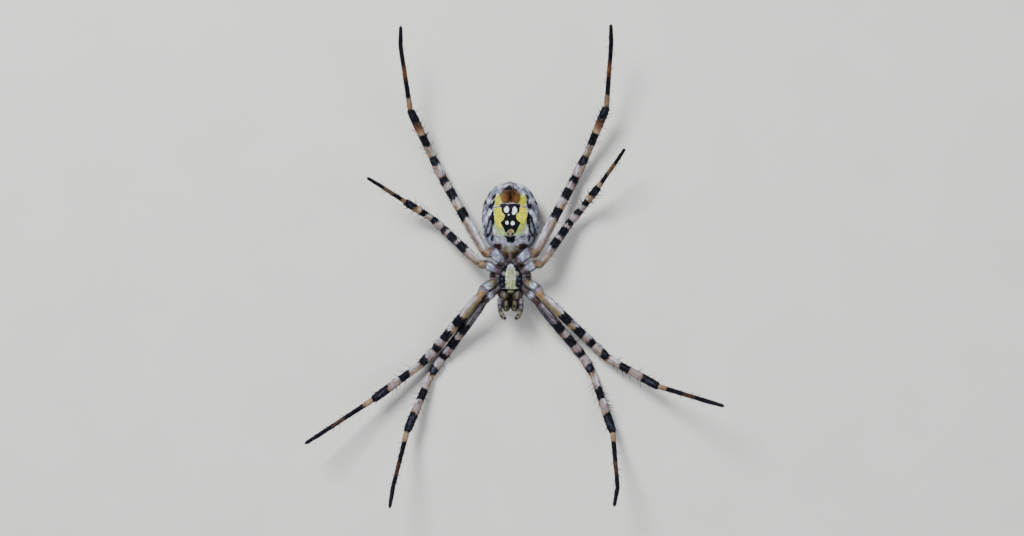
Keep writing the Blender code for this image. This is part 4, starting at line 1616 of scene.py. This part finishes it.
@dataclass
class Breast:
    """The breast plate between the legs, with its pale stripe."""

    plot: Plot
    rows: int = 26
    columns: int = 96
    corners: int = 18
    stripe: tuple[Pair, ...] = (
        (0.15, 0.08), (0.35, 0.30), (0.62, 0.45), (1.2, 0.62), (2.4, 0.60), (2.9, 0.62), (3.15, 0.50),
    )
    # Where slate-blue highlights are painted on the plate's dark sides.
    sheen_spots: tuple[Pair, ...] = ((1.02, 1.95), (1.02, 2.52))
    bumps: tuple[Pair, ...] = ((0.98, 2.85), (1.05, 2.05), (0.9, 1.25), (0.42, 0.62))

    def __post_init__(self) -> None:
        """Shape the plate and dress it."""
        solid = Solid("sternum")
        grid = stacked(solid.outlines(UP, self.corners), self.rows, self.columns, COAT_DEPTH)
        self.surface = surface = Surface(grid, self.plot)
        paint = surface.paint
        top = step(grid[..., 2], solid.high[2] - 0.55, solid.high[2] - 0.2)
        plan = Plan(grid[..., 0] - solid.middle[0], solid.high[1] - grid[..., 1]).wandering(33, 0.045)
        folded = plan.folded
        side, along = folded.across, folded.along
        fringe = plan.patches((3.0, 7.0), 34) - 0.5
        band = least(line(self.stripe, along) - side + 0.22 * fringe, along - 0.15, 3.12 - along)
        lobes = folded.spot(0.66, 1.32, 0.34, 0.24)
        paint(BLUE_BLACK)
        paint(SLATE, 0.8 * plan.flecks(5.0, 35, 0.62, 0.85))
        paint(LAVENDER, 0.7 * step(folded.spot(0.85, 2.98, 0.45, 0.10), -0.02, 0.05) * top)
        paint(LAVENDER, 0.9 * step(lobes, -0.08, 0.08) * top)
        paint(PALE_OLIVE, 0.55 * step(lobes, -0.08, 0.08) * top)
        stripe = step(band, -0.03, 0.05) * top
        paint(GREEN_CREAM, stripe)
        paint(GREEN_GOLD, 0.65 * stripe * step(along, 1.1, 2.3))
        paint(PALE_OLIVE, 0.8 * stripe * plan.flecks((5.0, 1.1), 36, 0.38, 0.7))
        paint(PALE_SILVER, 0.8 * stripe * (1 - step(along, 0.5, 1.1)))
        paint(PALE_SILVER, 0.45 * stripe * plan.flecks((3.4, 2.2), 46, 0.45, 0.8))
        paint(WHITE, 0.35 * stripe * plan.flecks((6.0, 3.0), 37, 0.65, 0.9))
        # Painted highlight: slate-blue spots on the plate's dark sides, left free of the black.
        sheen_spots = most(*(folded.spot(*place, 0.17, 0.15) for place in self.sheen_spots))
        paint(SLATE, 0.75 * step(sheen_spots, -0.02, 0.1) * top)
        ink = plan.patches(1.6, 38) * 0.2 - 0.1
        surface.add(Mark.DARK, least(-band - 0.02, -lobes - 0.02, -sheen_spots, ink, 2.9 - along))
        bumps = most(*(folded.spot(*place, 0.28, 0.24) for place in self.bumps))
        surface.press(0.06 * step(bumps, -0.05, 0.2) - 0.03 * step(band, -0.05, 0.1) * top)
        surface.hairy(60.0, 0.24, 34.0)


# ---- Mouth, waist and other small parts ----
# The way the spinnerets point.
SPINNERET_LEAN = unit(np.array((0.0, 0.45, 0.9)))


@dataclass
class SmallParts:
    """The lip, jaws, feelers, waist, spinnerets, the knob of the belly and the chest's sides."""

    cells: list[Plot]
    chest: Array
    columns: int = 28
    inset: float = COAT_DEPTH * 0.7
    # Dark rings of a feeler: middle and half width, as shares of its length.
    feeler_rings: tuple[Pair, ...] = ((0.30, 0.035), (0.56, 0.04), (0.80, 0.03), (0.97, 0.04))
    # The cone between the spinnerets: how long it is, how thick, and how far under their roots it starts.
    cone_length: float = 1.25
    cone_radius: float = 0.40
    cone_root: float = 0.2
    # The chest's sides: half their width, half of how far they run on ahead of the breast plate, how far
    # under the tops of the shield and the breast plate they start and end, and how full they are.
    chest_half: float = 1.75
    chest_ahead: float = 0.15
    chest_under: float = 0.35
    chest_fullness: float = 2.6

    def __post_init__(self) -> None:
        """Make the parts, those of the head and those of the rear."""
        self.nodes: list[str] = []
        self.head: list[Surface] = [self._lip(), self._chest_side()]
        self.rear: list[Surface] = [self._knob(), self._waist()]
        for side in Side:
            name = side.name.lower()
            self.head += [self._jaw(name), self._jaw_plate(name, side.value), self._feeler(name)]
            self.rear.append(self._spinneret(name))
        self.rear.append(self._tubercle())

    def _solid(self, node: str) -> Solid:
        """A node that the skin stands for."""
        self.nodes.append(node)
        return Solid(node)

    def _limb(self, solid: Solid, size: int, near: Array, rows: int,
              onward: tuple | None = None) -> tuple[Surface, Array]:
        """A round limb.

        Args:
            solid: its solid.
            size: how many points each of its outlines has.
            near: a place that its first end is near to.
            rows: how many rows it has.
            onward: how it runs on past its last outline.

        Returns:
            Its surface, and how far along it each row is, as a share.
        """
        rings = solid.rings(size, solid.beyond(near))[::-1]
        if onward:
            rings.append(rings[-1] + onward)
        keys, centres, radii = spine(rings)
        at = np.linspace(0, keys[-1], rows)
        girth = (through(keys, radii, at) - self.inset) * ended(keys[-1] - at, radii[-1] * 2, 0.03)
        return Surface(tube(through(keys, centres, at), girth, self.columns), self.cells.pop()), at / keys[-1]

    def _stack(self, rings: list[Array], rows: int, *below: Array) -> Surface:
        """A stack of outlines.

        Args:
            rings: the outlines.
            rows: how many rows it has.
            below: how it is carried on under its first outline.

        Returns:
            Its surface.
        """
        rings = [rings[0] + down for down in below] + rings
        return Surface(stacked(rings, rows, self.columns, self.inset), self.cells.pop())

    def _level_stack(self, solid: Solid, rows: int, base: float, back: float = 0.0) -> Surface:
        """A stack of level ovals, carried on down under its lowest one and back into the body."""
        below = [np.array((0.0, back * share**2, -base * share)) for share in (1.0, 0.5)]
        return self._stack(solid.outlines(UP, SMALL_POINTS), rows, *below)

    def _lip(self) -> Surface:
        """The lip, with its pale crescent.

        Returns:
            Its surface.
        """
        solid = self._solid("labium")
        surface = self._level_stack(solid, rows=14, base=0.1)
        _, y, z = surface.xyz
        surface.paint(OLIVE)
        high = step(z, solid.high[2] - 0.3, solid.high[2] - 0.1)
        surface.paint(STRAW, high * step(y - solid.middle[1] - 0.02, -0.04, 0.06))
        return surface.hairy(50.0, 0.2)

    def _jaw(self, side: str) -> Surface:
        """A jaw: olive, with a paler stripe down its middle and a dark inner side.

        Args:
            side: the side's name.

        Returns:
            Its surface.
        """
        solid = self._solid(f"chelicera_{side}")
        surface = self._level_stack(solid, rows=30, base=0.6, back=1.3)
        x, _, z = surface.xyz
        across = np.abs(x - solid.middle[0])
        surface.paint(OLIVE)
        surface.paint(PALE_OLIVE, 0.85 * step(0.17 - across, 0, 0.08))
        surface.paint(SMOKE, 0.8 * Plan(x, z).flecks((7.0, 1.6), 42, 0.5, 0.8))
        surface.paint(UMBER, 0.95 * step(solid.low[2] + 0.35 - z, 0.0, 0.4))
        surface.add(Mark.DARK, across - 0.30)
        return surface.hairy(100.0, 0.26)

    def _jaw_plate(self, side: str, sign: int) -> Surface:
        """The plate beside the lip.

        Args:
            side: the side's name.
            sign: the side's sign along X.

        Returns:
            Its surface.
        """
        solid = self._solid(f"endite_{side}")
        near = np.array((sign * 9.0, solid.middle[1] + 3, solid.middle[2]))
        surface, share = self._limb(solid, SMALL_POINTS, near, rows=24)
        across, share = np.abs(surface.xyz[0] - solid.middle[0]), share[:, None]
        surface.paint(SMOKE)
        surface.paint(OLIVE, step(share, 0.35, 0.8))
        surface.paint(PALE_OLIVE, 0.8 * step(share, 0.25, 0.5) * step(0.16 - across, 0, 0.08))
        return surface.hairy(85.0, 0.24)

    def _feeler(self, side: str) -> Surface:
        """A feeler: pinkish grey, darker at its joints and olive at its tip.

        Args:
            side: the side's name.

        Returns:
            Its surface.
        """
        solid = self._solid(f"palp_{side}")
        near = np.array((solid.middle[0], solid.high[1] + 3, solid.low[2]))
        surface, share = self._limb(solid, LIMB_POINTS, near, rows=60)
        share = share[:, None]
        tone = Plan(np.arange(self.columns)[None] / self.columns * 8, share).patches((1, 14), 39, 8)
        surface.paint(SMOKE)
        surface.paint(LAVENDER, 0.8 * step(tone, 0.25, 0.65))
        surface.paint(OLIVE, 0.6 * step(0.45 - tone, 0.0, 0.3))
        surface.paint(PALE_PINK, 0.6 * step(tone, 0.6, 0.9))
        surface.paint(PALE_OLIVE, 0.8 * step(share, 0.5, 0.65))
        for middle, half in self.feeler_rings:
            surface.add(Mark.DARK, (half - np.abs(share - middle)) * 2.5 + 0.25 * (tone - 0.55))
        return surface.hairy(150.0, 0.32)

    def _knob(self) -> Surface:
        """The tan knob in the middle of the belly, dark at its sides and smoky over its front half: in part
        its own marking, in part painted shade.

        Returns:
            Its surface.
        """
        solid = self._solid("epigyne")
        surface = self._level_stack(solid, rows=20, base=0.45)
        x, y, z = surface.xyz
        across = np.abs(x - solid.middle[0])
        surface.paint(BARK)
        surface.paint(PALE_OLIVE, 0.5 * step(0.12 - across, 0, 0.06))
        # Smoky front half and dark sides: in part the knob's marking, in part painted shade.
        surface.paint(SMOKE, 0.7 * step(solid.middle[1] - y, 0.0, 0.3))
        surface.add(Mark.DARK, np.minimum(across - 0.17, solid.high[2] - 0.04 - z))
        return surface.hairy(40.0, 0.16)

    def _waist(self) -> Surface:
        """The narrow waist.

        Returns:
            Its surface.
        """
        solid = self._solid("pedicel")
        surface, _ = self._limb(solid, SMALL_POINTS, solid.middle - (0, 5, 0), 24, (0.0, 0.8, -0.6))
        surface.paint(UMBER)
        surface.paint(PALE_PINK, 0.25 * Plan(*surface.xyz[:2]).flecks((6.0, 1), 44, 0.4, 0.7))
        return surface.hairy(60.0, 0.16, silvery=0.55)

    def _spinneret(self, side: str) -> Surface:
        """A spinneret: orange brown, dark where the two lean together and at the tip.

        Args:
            side: the side's name.

        Returns:
            Its surface.
        """
        solid = self._solid(f"spinneret_{side}")
        surface = self._stack(solid.outlines(SPINNERET_LEAN, SMALL_POINTS), 26, -SPINNERET_LEAN * 0.5)
        x, y, z = surface.xyz
        plan = Plan(x - self.chest[0], y)
        surface.paint(AMBER)
        surface.paint(RUST, 0.85 * plan.flecks((6.0, 1.4), 41, 0.40, 0.75))
        surface.paint(MAROON, 0.5 * step(0.34 - plan.folded.across, 0.0, 0.25))
        surface.paint(SAND, 0.7 * step(solid.low[1] + 0.16 - y, 0.0, 0.2))
        surface.paint(CHESTNUT, 0.6 * step(z, solid.high[2] - 0.75, solid.high[2] - 0.2))
        surface.paint(CHESTNUT, step(z - solid.high[2] + 0.14, 0.0, 0.1))
        surface.add(Mark.DARK, 0.07 - plan.folded.across)
        return surface.hairy(75.0, 0.2, silvery=0.62)

    def _tubercle(self) -> Surface:
        """The small dark cone between the spinnerets.

        Returns:
            Its surface.
        """
        solid, share = Solid("spinneret_right"), np.linspace(0, 1, 20)
        foot = np.array((self.chest[0], solid.middle[1], solid.low[2] - self.cone_root))
        path = foot + SPINNERET_LEAN * share[:, None] * self.cone_length
        girth = self.cone_radius * np.sqrt(1.001 - share**3)
        surface = Surface(tube(path, girth, self.columns), self.cells.pop())
        surface.paint(CHESTNUT)
        return surface.hairy(75.0, 0.2, silvery=0.5)

    def _chest_side(self) -> Surface:
        """The dark flesh of the chest behind the roots of the legs.

        Returns:
            Its surface.
        """
        breast, shield = Solid("sternum"), Solid("carapace")
        turn = np.linspace(0, math.pi, 40)
        half = (shield.high[1] - breast.low[1]) / 2 + self.chest_ahead
        along = (shield.high[1] + breast.low[1]) / 2 - self.chest_ahead - half * np.cos(turn)
        low, high = shield.high[2] - self.chest_under, breast.high[2] - self.chest_under
        reach = np.sin(turn) ** 0.5 + 0.01
        rise, level = reach * (high - low) / 2, np.full(len(turn), (low + high) / 2)
        grid = egg(along, self.chest[0], reach * self.chest_half, rise, level, rise,
                   self.columns * 2, self.chest_fullness)
        surface = Surface(grid, self.cells.pop())
        fan = pleats(grid, self.chest)
        surface.paint(UMBER)
        surface.paint(PALE_PINK, 0.9 * step(fan, -0.05, 0.05))
        surface.press(0.05 * (step(fan, -0.1, 0.08) - 1))
        return surface.hairy(50.0, 0.2)


@dataclass
class Eyes:
    """The eight eyes, small glossy balls."""

    rows: int = 24
    columns: int = 32
    # How near to a ball's two poles its first and last rows lie, in radians.
    pole: float = 0.02
    names: tuple = ("eye_front_middle", "eye_back_middle", "eye_front_side", "eye_back_side")

    def places(self) -> dict[str, tuple[Array, float]]:
        """Find the eyes.

        Returns:
            Each eye's middle and radius, by its node.
        """
        nodes = [f"{name}_{side.name.lower()}" for name in self.names for side in Side]
        eyes = [Solid(node) for node in nodes]
        return {node: (eye.middle, (eye.high - eye.low).max() / 2) for node, eye in zip(nodes, eyes)}

    def build(self, material: bpy.types.Material) -> None:
        """Make each eye.

        Args:
            material: its finish.
        """
        turn = np.linspace(self.pole, math.pi - self.pole, self.rows)
        for node, (centre, radius) in self.places().items():
            path = centre - np.outer(np.cos(turn) * radius, (0.0, 1.0, 0.0))
            ball = Surface(tube(path, np.sin(turn) * radius, self.columns), WHOLE_MAP)
            settle(Stock().put_surface(ball).make(f"{node}_ball"), material, "eye", node)


@dataclass
class Fangs:
    """The two curved fangs, folded over the jaws."""

    rows: int = 30
    columns: int = 16

    def build(self, material: bpy.types.Material) -> None:
        """Make each fang.

        Args:
            material: its finish.
        """
        at = np.linspace(0, 1, self.rows)
        for side in Side:
            node = f"fang_{side.name.lower()}"
            solid = Solid(node)
            rings = solid.rings(FANG_POINTS, solid.beyond(solid.middle - (side.value * 2, -1, 0)))
            _, centres, radii = spine(rings)
            keys = np.arange(len(rings)) / (len(rings) - 1)
            girth = through(keys, radii, at) * np.sqrt(np.maximum(1 - at**12, 0.01))
            horn = Surface(tube(through(keys, centres, at), girth, self.columns), WHOLE_MAP)
            settle(Stock().put_surface(horn).make(f"{node}_horn"), material, "fang", node)


# ---- Studio ----
@dataclass
class Studio:
    """A pale floor, soft lights and a camera that looks straight down at the belly."""

    floor_size: float = 900.0
    camera_height: float = 305.0
    # The width that the camera takes in, at the height of the belly.
    view_width: float = 118.78
    view_level: float = 5.0
    sensor: float = 36.0
    # The nearest and the furthest that the camera sees, in metres.
    clip: Pair = (0.01, 10.0)
    # Where the camera looks, from the middle of the spider's footprint.
    aim: Pair = (-0.138, -0.228)
    # Each light's place, size and power.
    lights: tuple = (
        ("key", (-130, 190, 290), 120, 2.3),
        ("fill", (190, -60, 240), 240, 0.42),
        ("low", (-40, -260, 160), 200, 0.2),
    )
    air: Colour = (0.9, 0.94, 1.0)
    air_strength: float = 0.30

    def build(self) -> None:
        """Set the stage."""
        mesh, half = bpy.data.meshes.new("floor"), self.floor_size / 2 * MM
        corners = [(-half, -half, 0), (half, -half, 0), (half, half, 0), (-half, half, 0)]
        mesh.from_pydata(corners, [], [(0, 1, 2, 3)])
        mesh.materials.append(FloorFinish().make())
        self._place("floor", mesh, (0.0, 0.0, 0.0))
        for name, place, size, power in self.lights:
            data = bpy.data.lights.new(name, "AREA")
            data.size, data.energy = size * MM, power
            light = self._place(name, data, place)
            light.rotation_euler = (-light.location).to_track_quat("-Z", "Y").to_euler()
        world = bpy.data.worlds.new("studio")
        world.use_nodes = True
        world.node_tree.nodes["Background"].inputs["Color"].default_value = (*self.air, 1.0)
        world.node_tree.nodes["Background"].inputs["Strength"].default_value = self.air_strength
        bpy.context.scene.world = world
        # The camera is square to the floor.
        data = bpy.data.cameras.new("camera")
        data.sensor_width = self.sensor
        data.lens = self.sensor * (self.camera_height - self.view_level) / self.view_width
        data.clip_start, data.clip_end = self.clip
        x, y, _ = sum(in_mm(CAD_BOX)) / 2
        place = (x + self.aim[0], y + self.aim[1], self.camera_height)
        bpy.context.scene.camera = self._place("camera", data, place)

    def _place(self, name: str, data: bpy.types.ID, place: tuple) -> bpy.types.Object:
        """Stand something on the stage.

        Args:
            name: its name.
            data: its mesh, light or camera.
            place: where it stands.

        Returns:
            Its object.
        """
        made = bpy.data.objects.new(name, data)
        made.location = [value * MM for value in place]
        bpy.context.scene.collection.objects.link(made)
        return made


def main() -> None:
    """Build the spider and its stage."""
    logging.basicConfig(level=logging.INFO, format="%(message)s")
    Studio().build()
    eyes, chest = Eyes(), Solid("sternum").middle
    # The unwrap: the abdomen and small parts share its lower part, and the legs lie over them in strips.
    cells = [(0.51 + 0.12 * (k % 4), 0.01 + 0.10 * (k // 4), 0.62 + 0.12 * (k % 4), 0.10 + 0.10 * (k // 4))
             for k in range(14)]
    abdomen = Abdomen((0.005, 0.005, 0.495, 0.42))
    parts = SmallParts(cells, chest)
    shield, breast = Carapace(PLATE_MAP, list(eyes.places().values()), chest), Breast(PLATE_MAP)
    legs = [Leg(pair, side, (0.005, 0.445 + 0.069 * k, 0.995, 0.505 + 0.069 * k), chest)
            for k, (pair, side) in enumerate((pair, side) for pair in PAIRS for side in Side)]
    skin, skin_finish = Stock(), SkinFinish().make()
    for surface in (abdomen.surface, *parts.head, *parts.rear, *(leg.surface for leg in legs)):
        skin.put_surface(surface)
    leg_nodes = [node for leg in legs for node in leg.nodes]
    settle(skin.make("skin"), skin_finish, "leg", "abdomen", *parts.nodes, *leg_nodes)
    for name, surface, slot, node in (("shield", shield.surface, "carapace", "carapace"),
                                      ("breast_plate", breast.surface, "underside_plate", "sternum")):
        settle(Stock().put_surface(surface).make(name), skin_finish, slot, node)
    eyes.build(EyeFinish().make())
    horn = HornFinish().make()
    Fangs().build(horn)
    hair = CoatFinish().make()
    coats = [
        Coat("coat_abdomen", [abdomen.surface, *parts.rear], "abdomen", 11),
        Coat("coat_shield", [shield.surface], "carapace", 12),
        Coat("coat_breast", [breast.surface], "underside_plate", 13),
        Coat("coat_jaws", parts.head, "carapace", 14),
    ]
    for pair in PAIRS:
        furred = [leg.surface for leg in legs if leg.pair == pair]
        coats.append(Coat(f"coat_legs_{pair}", furred, "leg", 20 + pair))
    for coat in coats:
        coat.build(hair)
    bristles, claws = Stock(), Stock()
    for leg in legs:
        leg.bristles(bristles, Spikes(sides=6, joints=4))
        leg.claws(claws, Spikes(sides=6, joints=5))
    settle(bristles.make("bristles"), horn, "leg")
    settle(claws.make("claws"), horn, "fang")


if __name__ == "__main__":
    main()
